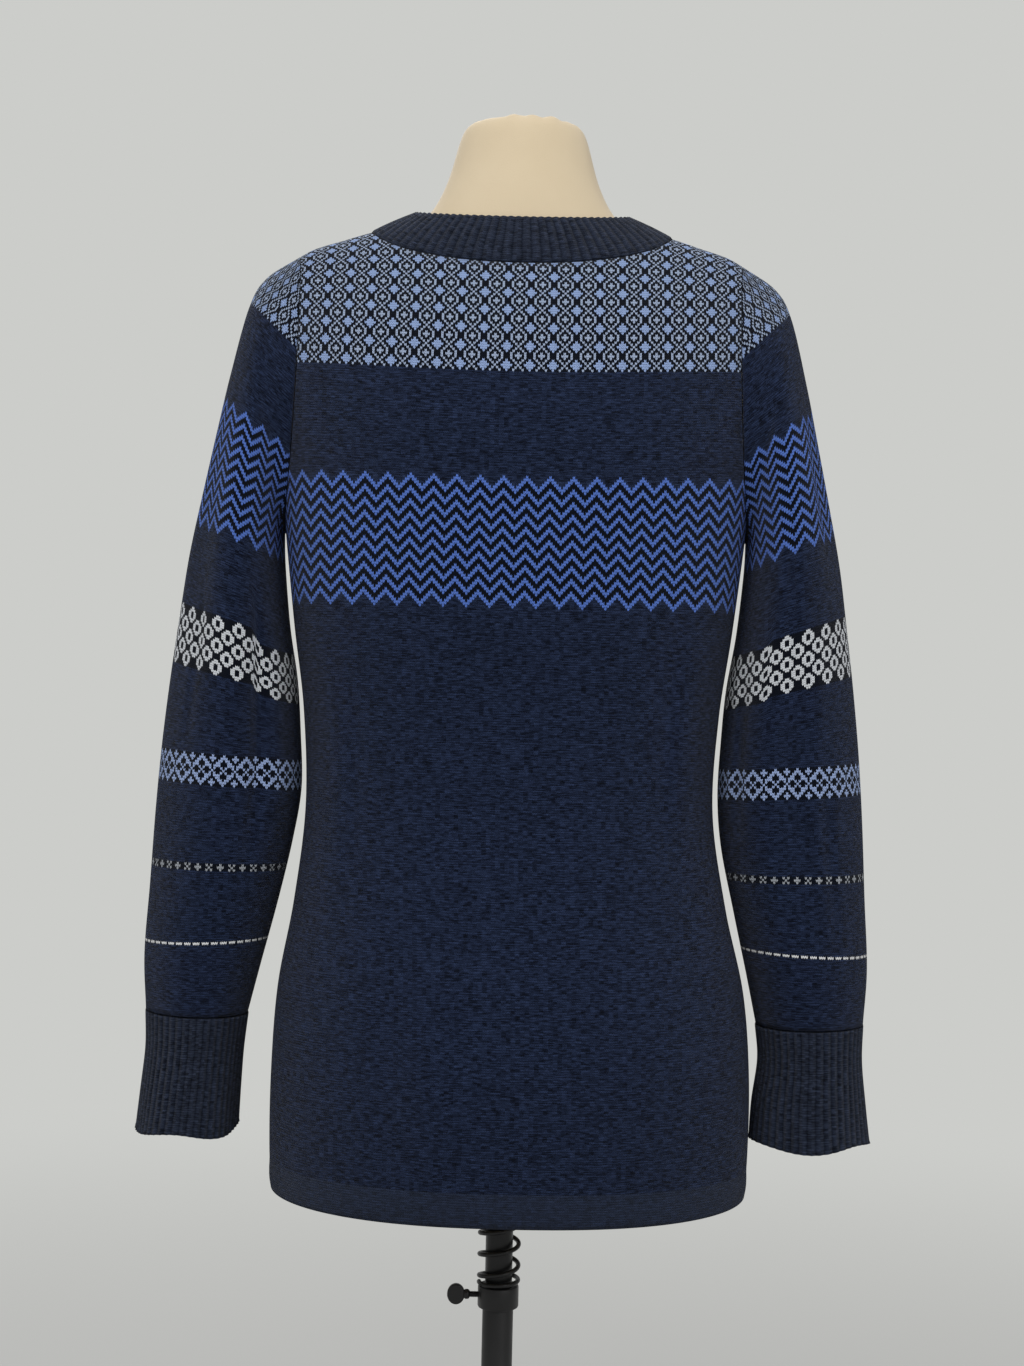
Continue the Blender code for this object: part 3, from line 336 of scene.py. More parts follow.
# Bands of the knitting, counted in rows up from the bottom of the chevrons
Band = namedtuple("Band", "chart first height yarn")
BANDS = (
    Band("chevron", 0, 52, CHEVRON_BLUE),
    Band("ring", -62, 27, RING_GREY),
    Band("lattice", -108, 13, LATTICE_BLUE),
    Band("cross", -143, 3, CROSS_GREY),
    Band("dash", -174, 1, DASH_WHITE),
)
CHEVRON_PITCH = 5.0
CHEVRON_LINE = 2.15
BODY_YOKE_ROW = 89
SLEEVE_YOKE_ROW = 82
HEM_ROW = -234
HEM_SHARE = 0.42          # how much paler the turned hem is

CAMERA_PLACE = (0, 1.5, 1.042)
CAMERA_LENS = 53.8
CAMERA_ROLL = 1.3         # degrees


def linear(colour):
    """A colour in shader values, from 0 to 255 for each channel as a screen shows it."""
    values = []
    for channel in colour:
        share = channel / 255
        values.append(share / 12.92 if share <= 0.04045 else ((share + 0.055) / 1.055) ** 2.4)
    return (*values, 1.0)


def read(table, column, at):
    """Read one column of a table at a place between its rows, on a smooth curve."""
    places = [row[0] for row in table]
    values = [getattr(row, column) for row in table]
    if at <= places[0]:
        return values[0]
    if at >= places[-1]:
        return values[-1]
    i = max(k for k in range(len(places) - 1) if places[k] <= at)
    return cubic(places, values, i, at)


def cubic(places, values, i, at):
    """Cubic curve through the points i and i + 1 with the slopes of its neighbours."""
    def slope(k):
        low, high = max(k - 1, 0), min(k + 1, len(places) - 1)
        return (values[high] - values[low]) / (places[high] - places[low])
    span = places[i + 1] - places[i]
    t = (at - places[i]) / span
    start = (2 * t ** 3 - 3 * t ** 2 + 1) * values[i]
    start += (t ** 3 - 2 * t ** 2 + t) * span * slope(i)
    end = (3 * t ** 2 - 2 * t ** 3) * values[i + 1]
    end += (t ** 3 - t ** 2) * span * slope(i + 1)
    return start + end


def straight(pairs, at):
    """Read a list of (place, value) pairs on straight lines."""
    if at <= pairs[0][0]:
        return pairs[0][1]
    for (low, start), (high, end) in zip(pairs, pairs[1:]):
        if at <= high:
            return start + (end - start) * (at - low) / (high - low)
    return pairs[-1][1]


def through(points, at):
    """A smooth curve through a list of points, at a place counted in points."""
    i = min(int(at), len(points) - 2)
    t = at - i
    before = points[i - 1] if i > 0 else points[0] * 2 - points[1]
    after = points[i + 2] if i + 2 < len(points) else points[-1] * 2 - points[-2]
    a, b = points[i], points[i + 1]
    bend = (before * 2 - a * 5 + b * 4 - after) * t * t + (a * 3 - before - b * 3 + after) * t ** 3
    return a + ((b - before) * t + bend) * 0.5


def bump(distance, spread):
    """A smooth hill: 1 in the middle and 0 at the spread."""
    share = min(abs(distance) / spread, 1.0)
    return (1.0 - share * share) ** 2


def body_fold(across, z, side):
    """How far the soft ridges lift the body here."""
    lift = 0.0
    for fold in BODY_FOLDS:
        if fold.side == side:
            middle = (fold.top + fold.bottom) / 2
            along = bump(z - middle, (fold.top - fold.bottom) / 2)
            lift += fold.height * bump(across - fold.across, fold.spread) * along
    return lift


def neckline(angle, side):
    """Share of the half width, and angle on the arch, of the neckline at an angle from its
    centre."""
    x = NECK_X * math.sin(math.radians(angle))
    drop = BACK_NECK_DROP if side > 0 else FRONT_NECK_DROP
    height = NECK_SIDE_Z - drop * math.cos(math.radians(angle)) - UNDERARM
    top = min(height / (read(SHOULDER, "z", x) - UNDERARM), 1.0)
    return x / SHOULDER_X, math.asin(top ** (ARCH_POWER / 2))


def place_in_panel(column):
    """A place between the columns of a panel."""
    i = min(int(column), len(COLUMNS) - 2)
    return Column(*(a + (b - a) * (column - i) for a, b in zip(COLUMNS[i], COLUMNS[i + 1])))


def neck_angle(neck, row):
    """Angle from the centre of the neckline of the corner where a column meets it."""
    up = max(row * ARCH_ROWS - NECK_ROWS, 0) / (ARCH_ROWS - NECK_ROWS)
    return neck + (90 - neck) * up


def torso_point(sign, column, row, side):
    """A point of the body. Rows up to 0 are metres below the underarm, and rows from 0 to
    1 climb the arch to the shoulder or the neckline."""
    out, neck, low = place_in_panel(column)
    if row <= 0:
        z = UNDERARM + row
        across = low + (1 - low) * out
        x = across * read(TORSO, "half_width", z)
        arch = 1.0
        if z < HEM_EDGE + HEM_LIFT:
            z += HEM_LIFT * across ** 3
    else:
        share, angle = neckline(neck_angle(neck, row), side)
        climb = min(row * ARCH_ROWS / NECK_ROWS, 1.0) ** ARCH_SPACING
        share = low + (share - low) * climb
        angle *= climb
        edge_angle = math.pi / 2 * row ** ARCH_SPACING
        across = share + (1 - share) * out
        angle += (edge_angle - angle) * out
        x = across * read(ARMHOLE, "x", row)
        ridge = read(SHOULDER, "z", x) - UNDERARM
        z = UNDERARM + ridge * math.sin(angle) ** (2 / ARCH_POWER)
        arch = max(math.cos(angle), 0.0) ** (2 / ARCH_POWER)
        if angle > math.pi / 2 - TINY:
            arch = 0.0
    reach = min(x / read(TORSO, "half_width", z), 1.0)
    depth = read(TORSO, "back_depth" if side > 0 else "front_depth", z)
    y = depth * (1.0 - reach ** SECTION_POWER) ** (1 / SECTION_POWER)
    y = y * arch + body_fold(sign * across, z, side)
    return Vector((sign * x + read(TORSO, "centre_x", z), side * y, z))


def neck_turn(angle, sign, side):
    """Angle round the neck, 0 on the left and 90 degrees at the back."""
    turn = math.pi / 2 - sign * math.radians(angle)
    return turn if side > 0 else -turn


def band_top(turn):
    """Top edge of the neckband at this angle round the neck."""
    back = math.sin(turn) >= 0
    angle = math.asin(min(abs(math.cos(turn)), 1.0))
    if not back:
        first = math.asin(NOTCH_HALF / NECK_X)
        first_top = math.asin(NOTCH_HALF / BAND_TOP_X)
        share = (angle - first) / (math.pi / 2 - first)
        angle = first_top + share * (math.pi / 2 - first_top)
    depth = BAND_TOP_BACK if back else -BAND_TOP_FRONT
    drop = BAND_TOP_BACK_DROP if back else BAND_TOP_FRONT_DROP
    x = math.copysign(BAND_TOP_X * math.sin(angle), math.cos(turn))
    fall = math.hypot(math.cos(angle), BAND_TOP_ROUND) - BAND_TOP_ROUND
    fall /= math.hypot(1.0, BAND_TOP_ROUND) - BAND_TOP_ROUND
    return Vector((x, depth * math.cos(angle), BAND_TOP_SIDE_Z - drop * fall))


def neck_point(bottom, turn, share):
    """A point of the neckband, which rises from the neckline and leans in."""
    out = Vector((bottom.x, bottom.y, 0.0)).normalized()
    return bottom.lerp(band_top(turn), share) + out * BAND_BULGE * 4 * share * (1 - share)


def arm_point(ring, angle, side, crease):
    """A point of a sleeve or cuff ring. Angle 0 is the outer side and 90 the back."""
    inner_x = ring.inner_left if side > 0 else ring.inner_right
    outer = Vector((ring.outer_x, ring.outer_z))
    inner = Vector((inner_x, ring.inner_z))
    half = (outer - inner) / 2
    width = half.length - crease
    flat = (outer + inner) / 2 + half.normalized() * width * math.cos(angle)
    y = ring.centre_y + (ring.half_depth - crease) * math.sin(angle)
    return Vector((side * flat.x, y, flat.y))


def sleeve_crease(side, angle, station):
    """How far the creases press the sleeve in here."""
    depth = 0.0
    for crease in SLEEVE_CREASES:
        if crease.side == side:
            middle = (crease.first + crease.last) / 2
            along = bump(station - middle, (crease.last - crease.first) / 2)
            away = (math.degrees(angle) - crease.angle + 180) % 360 - 180
            depth += crease.depth * bump(away, crease.spread) * along
    return depth


def laid_grid(columns, rows, place, stitch, closed=False, skip=None):
    """A sheet laid on a grid: place gives a point and stitch its (stitch, row) for each
    pair of a column and a row. Closed joins the last column to the first."""
    mesh = bmesh.new()
    across, up = len(columns) - 1, len(rows) - 1
    bmesh.ops.create_grid(mesh, x_segments=across, y_segments=up, size=1.0)
    marks = {}
    for vert in mesh.verts:
        i = round((vert.co.x + 1) / 2 * across)
        j = round((vert.co.y + 1) / 2 * up)
        marks[vert] = (i, j)
    layer = mesh.loops.layers.uv.new("Stitch")
    points = {}
    for vert, (i, j) in marks.items():
        points[(i, j)] = place(columns[i], rows[j])
    knots = stitch(points, columns, rows)
    for face in mesh.faces:
        for loop in face.loops:
            loop[layer].uv = knots[marks[loop.vert]]
    if skip:
        gone = []
        for face in mesh.faces:
            cells = [marks[vert] for vert in face.verts]
            middle = sum(columns[i] for i, j in cells) / 4, sum(rows[j] for i, j in cells) / 4
            if skip(*middle):
                gone.append(face)
        bmesh.ops.delete(mesh, geom=gone, context="FACES")
    for vert in mesh.verts:
        vert.co = points[marks[vert]]
    if closed:
        bmesh.ops.remove_doubles(mesh, verts=mesh.verts, dist=TINY)
    return mesh


def face_out(mesh, inside):
    """Turn the sheet's faces away from a point inside the garment."""
    mesh.normal_update()
    total = 0.0
    for face in mesh.faces:
        total += face.normal.dot(face.calc_center_median() - inside) * face.calc_area()
    if total < 0:
        bmesh.ops.reverse_faces(mesh, faces=mesh.faces)


def draw_back(mesh, gap):
    """Draw the open edges back from their seams."""
    moves = {}
    for edge in mesh.edges:
        if edge.is_boundary:
            face = edge.link_faces[0]
            along = (edge.verts[1].co - edge.verts[0].co).normalized()
            inward = face.calc_center_median() - edge.verts[0].co
            inward = (inward - along * inward.dot(along)).normalized()
            for vert in edge.verts:
                moves.setdefault(vert, Vector())
                moves[vert] += inward
    for vert, move in moves.items():
        if move.length > TINY:
            vert.co += move.normalized() * gap


def linked(name, data):
    """A new object in the scene."""
    obj = bpy.data.objects.new(name, data)
    bpy.context.collection.objects.link(obj)
    return obj


def meshed(name, mesh):
    """Turn a bmesh into mesh data, and free it."""
    data = bpy.data.meshes.new(name)
    mesh.to_mesh(data)
    mesh.free()
    return data


def evaluated(obj):
    """The mesh that an object's modifiers or bevel give."""
    graph = bpy.context.evaluated_depsgraph_get()
    mesh = bmesh.new()
    mesh.from_mesh(obj.evaluated_get(graph).to_mesh())
    return mesh


def discard(obj):
    """Remove a helper object with its data."""
    data = obj.data
    kind = bpy.data.curves if isinstance(data, bpy.types.Curve) else bpy.data.meshes
    bpy.data.objects.remove(obj, do_unlink=True)
    kind.remove(data)


def piece(name, mesh, materials, body, node):
    """Make an object of a mesh, ride it on its body and let it stand for its solid."""
    data = meshed(name, mesh)
    data.shade_smooth()
    obj = linked(name, data)
    for material in materials:
        data.materials.append(material)
    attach(obj, body)
    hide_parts(node)
    return obj


def cloth(node, ending, mesh, inside, gap, materials):
    """Make a garment piece of a sheet: its faces turn away from a point inside, and its edges
    are drawn back from their seams."""
    face_out(mesh, Vector(inside))
    draw_back(mesh, gap)
    return piece(node + "_" + ending, mesh, materials, "form", node)


def give_wall(obj, thick=WALL, group=None):
    """Give a sheet its thickness, inwards from its face."""
    wall = obj.modifiers.new("wall", "SOLIDIFY")
    wall.thickness = thick
    wall.offset = -1.0
    wall.use_quality_normals = True
    wall.material_offset = 1
    wall.material_offset_rim = 1
    if group:
        wall.vertex_group = group
    return obj


def spread(first, last, count):
    """Evenly spaced values."""
    return [first + (last - first) * i / count for i in range(count + 1)]


def section_lengths():
    """Cloth along a section of the body from its centre, for each share of the half width. It is
    stretched where the section begins to turn."""
    lengths = [(0.0, 0.0)]
    last = (0.0, SECTION_RATIO)
    for i in range(1, SECTION_STEPS + 1):
        x = math.sin(math.pi / 2 * i / SECTION_STEPS)
        y = SECTION_RATIO * (1 - x ** SECTION_POWER) ** (1 / SECTION_POWER)
        ahead = x - last[0]
        turned = math.hypot(ahead, y - last[1]) - ahead
        lengths.append((x, lengths[-1][1] + ahead + turned * straight(SECTION_TURN, x)))
        last = (x, y)
    return lengths


SECTION_LENGTHS = section_lengths()


def arch_depth(point):
    """Depth of the body at its middle, at the height of a point and under its shoulder."""
    up = (point.z - UNDERARM) / (read(SHOULDER, "z", abs(point.x)) - UNDERARM)
    up = max(min(up, 1.0), 0.0)
    depth = read(TORSO, "back_depth" if point.y >= 0 else "front_depth", point.z)
    return depth * (1 - up ** ARCH_POWER) ** (1 / ARCH_POWER)


def panel_stitches(points, columns, rows):
    """Stitches of a panel: across from its centre, and up along the cloth."""
    knots = {}
    for i in range(len(columns)):
        height = points[(i, 0)].z
        for j in range(len(rows)):
            point = points[(i, j)]
            depth = arch_depth(point)
            if j:
                climb = point.z - points[(i, j - 1)].z
                height += math.hypot(depth - last, climb) if rows[j] > 0 else climb
            last = depth
            lift = straight(COURSE_LIFT, height)
            width = read(TORSO, "half_width", point.z)
            x = point.x - read(TORSO, "centre_x", point.z)
            reach = min(abs(x) / width, 1.0)
            u = math.copysign(width * straight(SECTION_LENGTHS, reach), x) / STITCH
            v = (height - lift * (x / SHOULDER_X) ** 2 - CHEVRON_BOTTOM) / COURSE
            knots[(i, j)] = (u, v)
    return knots


def build_panels(materials):
    """Back and front panels with their turned hem."""
    half = spread(0, 1, 4)[:-1] + spread(1, EDGE_COLUMN, 56)
    columns = [-at for at in reversed(half[1:])] + half
    below = spread(HEM_EDGE - UNDERARM, HEM_EDGE + HEM_TURN - UNDERARM, 6)[:-1]
    below += spread(HEM_EDGE + HEM_TURN - UNDERARM, 0.0, 88)
    rows = below + spread(0.0, NECK_START, 36)[1:] + spread(NECK_START, 1.0, 28)[1:]
    pieces = []
    for node, side in (("back", 1), ("front", -1)):
        def place(column, row, side=side):
            sign = 1 if column >= 0 else -1
            if abs(column) < NECK_COLUMN:
                row = min(row, NECK_START)
            point = torso_point(sign, abs(column), row, side)
            from_edge = point.z - HEM_EDGE
            if from_edge < HEM_TURN * HEM_BEAD_REACH:
                out = Vector((point.x, point.y * SECTION_LEAN, 0)).normalized()
                bead = bump(from_edge - HEM_TURN * HEM_BEAD_AT, HEM_TURN * HEM_BEAD_SPREAD)
                point += out * HEM_BEAD * bead
            return point

        def skip(column, row, side=side):
            if row > NECK_START and abs(column) < NECK_COLUMN:
                return True
            return side < 0 and row > 0 and abs(column) < 1
        mesh = laid_grid(columns, rows, place, panel_stitches, skip=skip)
        bmesh.ops.delete(mesh, geom=[v for v in mesh.verts if not v.link_faces], context="VERTS")
        obj = cloth(node, "panel", mesh, (0, 0, 1.05), SEAM_GAP, materials)
        group = obj.vertex_groups.new(name="wall")
        for vert in obj.data.vertices:
            doubled = vert.co.z < HEM_EDGE + HEM_TURN + 0.001
            group.add([vert.index], 1.0 if doubled else 0.5, "REPLACE")
        pieces.append(give_wall(obj, 2 * WALL, "wall"))
    return pieces


def ellipse_length(a, b, angle, steps=16):
    """Length along an ellipse from its outer end to an angle, signed."""
    total = 0.0
    for i in range(steps):
        at = angle * (i + 0.5) / steps
        total += math.hypot(a * math.sin(at), b * math.cos(at)) * angle / steps
    return total


def course_at(x, z):
    """The course through a place of the sleeve in the view from behind, with its ends."""
    def height(course):
        slope = (course.outer_z - course.inner_z) / (course.outer_x - course.inner_x)
        return course.inner_z + (x - course.inner_x) * slope
    heights = [height(course) for course in SLEEVE_COURSES]
    i = 0
    while i < len(heights) - 2 and z < heights[i + 1]:
        i += 1
    t = (heights[i] - z) / (heights[i] - heights[i + 1])
    t = max(min(t, 1 + COURSE_BEYOND), -COURSE_BEYOND)
    a, b = SLEEVE_COURSES[i], SLEEVE_COURSES[i + 1]
    return Course(*(p + (q - p) * t for p, q in zip(a, b)))


def sleeve_stitch(point, side, steps):
    """Stitch and course of a place on a sleeve. Stitches are counted from its top line."""
    course = course_at(abs(point.x), point.z)
    outer = Vector((course.outer_x, course.outer_z))
    inner = Vector((course.inner_x, course.inner_z))
    a = (outer - inner).length / 2
    axis = (outer - inner).normalized()
    along = (Vector((abs(point.x), point.z)) - (outer + inner) / 2).dot(axis) / a
    angle = math.atan2((point.y - course.centre_y) / course.half_depth, along)
    if steps < 0 and angle > SEAM_ANGLE:
        angle -= 2 * math.pi
    if steps > 0 and angle < -SEAM_ANGLE:
        angle += 2 * math.pi
    return side * ellipse_length(a, course.half_depth, angle) / STITCH, course.row


def slipped(side, column, row):
    """Courses by which the cloth beside a sleeve's inner crease has slipped down."""
    if column < 0:
        return 0.0
    past = min(max((column - SLIP_COLUMN) / SLIP_WIDTH, 0.0), 1.0)
    return SLIP_COURSES[side] * past * past * (3 - 2 * past) * bump(row - SLIP_ROW, SLIP_SPREAD)


def build_sleeves(materials):
    """Set-in sleeves, from the armhole through the rings to the cuff. Their columns meet the
    rows of the arch at the armhole."""
    columns = spread(-ARCH_ROWS, ARCH_ROWS, 12 * ARCH_ROWS)
    rows = spread(0, len(SLEEVE), len(SLEEVE) * 10)
    pieces = []
    for node, side in (("sleeve_left", 1), ("sleeve_right", -1)):
        def line(column, station, side=side, crease=0.0):
            angle = math.pi * column / ARCH_ROWS
            front_or_back = 1 if column >= 0 else -1
            start = torso_point(side, EDGE_COLUMN, 1 - abs(column) / ARCH_ROWS, front_or_back)
            return through([start] + [arm_point(ring, angle, side, crease) for ring in SLEEVE], station)

        def place(column, station, side=side):
            angle = math.pi * column / ARCH_ROWS
            point = line(column, station)
            crease = sleeve_crease(side, angle % (2 * math.pi), station - 1)
            return point + line(column, max(station, 1), crease=crease) - line(column, max(station, 1))

        def stitches(points, columns, rows, side=side):
            knots = {}
            for i, j in points:
                u, v = sleeve_stitch(line(columns[i], rows[j]), side, columns[i])
                knots[(i, j)] = (u, v + slipped(side, columns[i], v))
            return knots
        mesh = laid_grid(columns, rows, place, stitches, closed=True)
        centre = (side * 0.205, -0.003, 1.05)
        sheet = cloth(node, "knit", mesh, centre, SEAM_GAP, materials)
        pieces.append(give_wall(sheet))
    return pieces


def even_stitches(across, up):
    """Stitches that are even along a sheet's columns and rows."""
    def stitches(points, columns, rows):
        return {(i, j): (columns[i] * across, rows[j] * up) for i, j in points}
    return stitches


def rib_lift(place):
    """Height of the ribbing at a place counted in ribs."""
    return RIB_HEIGHT * (0.5 - 0.5 * math.cos(2 * math.pi * place)) ** RIB_POWER


def build_cuffs(materials):
    """Ribbed cuffs that flare in soft waves."""
    columns = spread(0, CUFF_RIBS, CUFF_RIBS * RIB_STEPS)
    last = len(CUFF) - 1
    rows = spread(0, last, 30)
    pieces = []
    for node, side in (("cuff_left", 1), ("cuff_right", -1)):
        def place(column, station, side=side):
            angle = 2 * math.pi * (column % CUFF_RIBS) / CUFF_RIBS
            flare = CUFF_WAVE * (station / last) ** 2
            wave = flare * math.cos(CUFF_WAVES * angle + side)
            roll = CUFF_ROLL * bump(station - last, CUFF_ROLL_SPREAD)
            out = wave + roll + rib_lift(column)
            point = through([arm_point(ring, angle, side, -out) for ring in CUFF], station)
            point.z -= CUFF_DROOP * (station / last) ** 4 * math.cos(3 * angle - side)
            return point
        stitches = even_stitches(RIB_STITCHES, CUFF_COURSES)
        mesh = laid_grid(columns, rows, place, stitches, closed=True)
        centre = (side * 0.228, -0.006, 0.755)
        pieces.append(give_wall(cloth(node, "rib", mesh, centre, SEAM_GAP, materials)))
    return pieces


def neck_stops():
    """Places of the neckline, each with its turn, from the placket round the back."""
    half = [(column, NECK_START) for column in spread(1, NECK_COLUMN, 24)]
    half += [(NECK_COLUMN, row) for row in spread(NECK_START, 1.0, 40)[1:]]
    back = half[-2::-1] + [(column, NECK_START) for column in spread(1, 0, 4)[1:]]
    forward = list(reversed(back))[1:] + [half[-1]]
    stops = []
    for sign, side, places in ((1, -1, half), (1, 1, back), (-1, 1, forward), (-1, -1, half[-2::-1])):
        for column, row in places:
            angle = neck_angle(place_in_panel(column).neck, row)
            turn = neck_turn(angle, sign, side)
            if stops and turn < stops[-1][0] - 1e-9:
                turn += 2 * math.pi
            stops.append((turn, torso_point(sign, column, row, side)))
    return stops


def build_neckband(materials):
    """The ribbed band round the neckline."""
    stops = neck_stops()
    lengths = [0.0]
    for a, b in zip(stops, stops[1:]):
        lengths.append(lengths[-1] + (b[1] - a[1]).length)
    columns = spread(0, NECK_RIBS, NECK_RIBS * RIB_STEPS)
    rows = spread(0, 1, 14)
    line = []
    k = 0
    for column in columns:
        distance = lengths[-1] * column / NECK_RIBS
        while k < len(lengths) - 2 and lengths[k + 1] < distance:
            k += 1
        t = (distance - lengths[k]) / max(lengths[k + 1] - lengths[k], 1e-9)
        turn = stops[k][0] + (stops[k + 1][0] - stops[k][0]) * t
        line.append((turn, stops[k][1].lerp(stops[k + 1][1], t)))
    where = {column: k for k, column in enumerate(columns)}

    def place(column, share):
        turn, bottom = line[where[column]]
        point = neck_point(bottom, turn, share)
        up = (neck_point(bottom, turn, min(share + 0.05, 1.05)) - point).normalized()
        around = Vector((-math.sin(turn), math.cos(turn), 0))
        out = around.cross(up).normalized()
        return point + out * rib_lift(column) * min(share / BAND_FADE, 1.0)
    mesh = laid_grid(columns, rows, place, even_stitches(RIB_STITCHES, BAND_COURSES))
    return give_wall(cloth("neckband", "rib", mesh, (0, 0, 1.34), SEAM_GAP / 2, materials))


def placket_lines():
    """The two edges of the placket opening, up to the top of the neckband."""
    edges = []
    for sign in (-1, 1):
        line = [torso_point(sign, 1, k / ARCH_ROWS, -1) for k in range(NECK_ROWS + 1)]
        turn = neck_turn(COLUMNS[1].neck, sign, -1)
        line += [neck_point(line[-1], turn, share) for share in (0.5, 1.0)]
        edges.append(line)
    return edges


def build_placket(materials):
    """Under band and outer band of the henley opening."""
    left, right = placket_lines()
    last = len(left) - 1
    middle = [(a + b) / 2 for a, b in zip(left, right)]
    columns = spread(0, 1, 16)
    rows = spread(0, last, 110)
    pieces = []
    for node, rise in (("placket_under_band", 0.0), ("placket_outer_band", WALL + SEAM_GAP)):
        def place(column, row, rise=rise):
            a, b = through(left, row), through(right, row)
            up = through(middle, min(row + 0.3, last)) - through(middle, max(row - 0.3, 0))
            out = (b - a).cross(up).normalized()
            if out.y > 0:
                out = -out
            edge = min(column, 1 - column)
            roll = PLACKET_ROLL * (1 - min(edge / PLACKET_ROLL_SPREAD, 1.0)) ** 2
            stitched = PLACKET_SEAM * bump(edge - PLACKET_SEAM_AT, PLACKET_SEAM_SPREAD)
            return a.lerp(b, column) + out * (rise - (roll + stitched if rise else 0.0))
        mesh = laid_grid(columns, rows, place, even_stitches(PLACKET_STITCHES, PLACKET_STITCHES))
        sheet = cloth(node, "knit", mesh, (0, 0, 1.25), SEAM_GAP / 2, materials)
        pieces.append(give_wall(sheet))
    return pieces


def refined(node, levels):
    """A finer copy of a solid, with its quads put back and its surface rounded."""
    mesh = bmesh.new()
    mesh.from_mesh(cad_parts[node].data)
    bmesh.ops.remove_doubles(mesh, verts=mesh.verts, dist=TINY)
    bmesh.ops.join_triangles(mesh, faces=mesh.faces, angle_face_threshold=math.radians(50),
                             angle_shape_threshold=math.radians(70))
    obj = linked(node + "_refined", meshed(node + "_refined", mesh))
    smooth = obj.modifiers.new("smooth", "SUBSURF")
    smooth.levels = levels
    smooth.render_levels = levels
    done = evaluated(obj)
    discard(obj)
    return done


def build_form(cover):
    """The dress form under its stretched cover, gathered a little at the top of the neck."""
    mesh = refined("dress_form", 2)
    for pucker in PUCKERS:
        turn = math.radians(pucker.angle)
        spot = Vector((PUCKER_X * math.cos(turn), PUCKER_Y * math.sin(turn), 0))
        for vert in mesh.verts:
            if vert.co.z > NECK_TOP - PUCKER_BELOW:
                away = math.hypot(vert.co.x - spot.x, vert.co.y - spot.y)
                vert.co.z += pucker.height * bump(away, PUCKER_SPREAD)
    return piece("form_cover", mesh, (cover,), "form", "dress_form")


def lathe(profile, steps):
    """A body of revolution round Z. A profile from axis to axis is solid, any other a ring."""
    mesh = bmesh.new()
    verts = [mesh.verts.new((radius, 0.0, z)) for radius, z in profile]
    edges = [mesh.edges.new(pair) for pair in zip(verts, verts[1:])]
    if profile[0][0] > 0:
        edges.append(mesh.edges.new((verts[-1], verts[0])))
    bmesh.ops.spin(mesh, geom=verts + edges, cent=(0, 0, 0), axis=(0, 0, 1), dvec=(0, 0, 0),
                   angle=2 * math.pi, steps=steps, use_merge=True, use_duplicate=False)
    bmesh.ops.remove_doubles(mesh, verts=mesh.verts, dist=TINY)
    bmesh.ops.recalc_face_normals(mesh, faces=mesh.faces)
    return mesh


def cylinder(radius, depth, segments, matrix):
    """A round bar along the Z axis of a matrix, about its origin."""
    mesh = bmesh.new()
    bmesh.ops.create_cone(mesh, cap_ends=True, segments=segments, radius1=radius, radius2=radius,
                          depth=depth, matrix=matrix)
    return mesh


def soften(obj):
    """Shade a turned piece smooth between its edges."""
    obj.data.set_sharp_from_angle(angle=math.radians(SHARP_ANGLE))


def bored(obj, drill):
    """Cut a shape out of a piece, and keep the result as its own mesh."""
    cutter = linked("drill", meshed("drill", drill))
    cut = obj.modifiers.new("cut", "BOOLEAN")
    cut.operation = "DIFFERENCE"
    cut.object = cutter
    done = evaluated(obj)
    obj.modifiers.remove(cut)
    done.to_mesh(obj.data)
    done.free()
    discard(cutter)
    obj.data.shade_smooth()


def build_stand(black, worn):
    """Base, tubes, flange and clamp collar, which is drilled for the thumb screw."""
    for part in TURNED:
        finish = worn if part.name == "upper_pole" else black
        mesh = lathe(part.profile, part.steps)
        obj = piece(part.name, mesh, (finish,), part.body, part.node)
        if part.name == "pole_collar":
            across = Matrix.Translation((BORE_AT, 0, SCREW_Z)) @ Matrix.Rotation(math.pi / 2, 4, "Y")
            bored(obj, cylinder(BORE_RADIUS, BORE_LENGTH, 32, across))
        soften(obj)


def build_spring(steel):
    """The coil spring with closed ends, between the collar and the flange's hub."""
    bottom = COLLAR_TOP + SEAM_GAP + SPRING_WIRE
    top = HUB_BOTTOM - SEAM_GAP - SPRING_WIRE
    flat = SPRING_CLOSED_PITCH * SPRING_WIRE * SPRING_CLOSED
    climb = ((0.0, bottom), (SPRING_CLOSED, bottom + flat),
             (SPRING_TURNS - SPRING_CLOSED, top - flat), (SPRING_TURNS, top))
    curve = bpy.data.curves.new("spring_path", "CURVE")
    curve.dimensions = "3D"
    curve.bevel_depth = SPRING_WIRE
    curve.bevel_resolution = 4
    curve.use_fill_caps = True
    steps = int(SPRING_TURNS * SPRING_STEPS)
    line = curve.splines.new("POLY")
    line.points.add(steps)
    for i, turn in enumerate(spread(0, SPRING_TURNS, steps)):
        angle = 2 * math.pi * turn
        x, y = SPRING_RADIUS * math.cos(angle), SPRING_RADIUS * math.sin(angle)
        line.points[i].co = (x, y, straight(climb, turn), 1.0)
    path = linked("spring_path", curve)
    mesh = evaluated(path)
    discard(path)
    soften(piece("coil_spring", mesh, (steel,), "stand", "spring"))


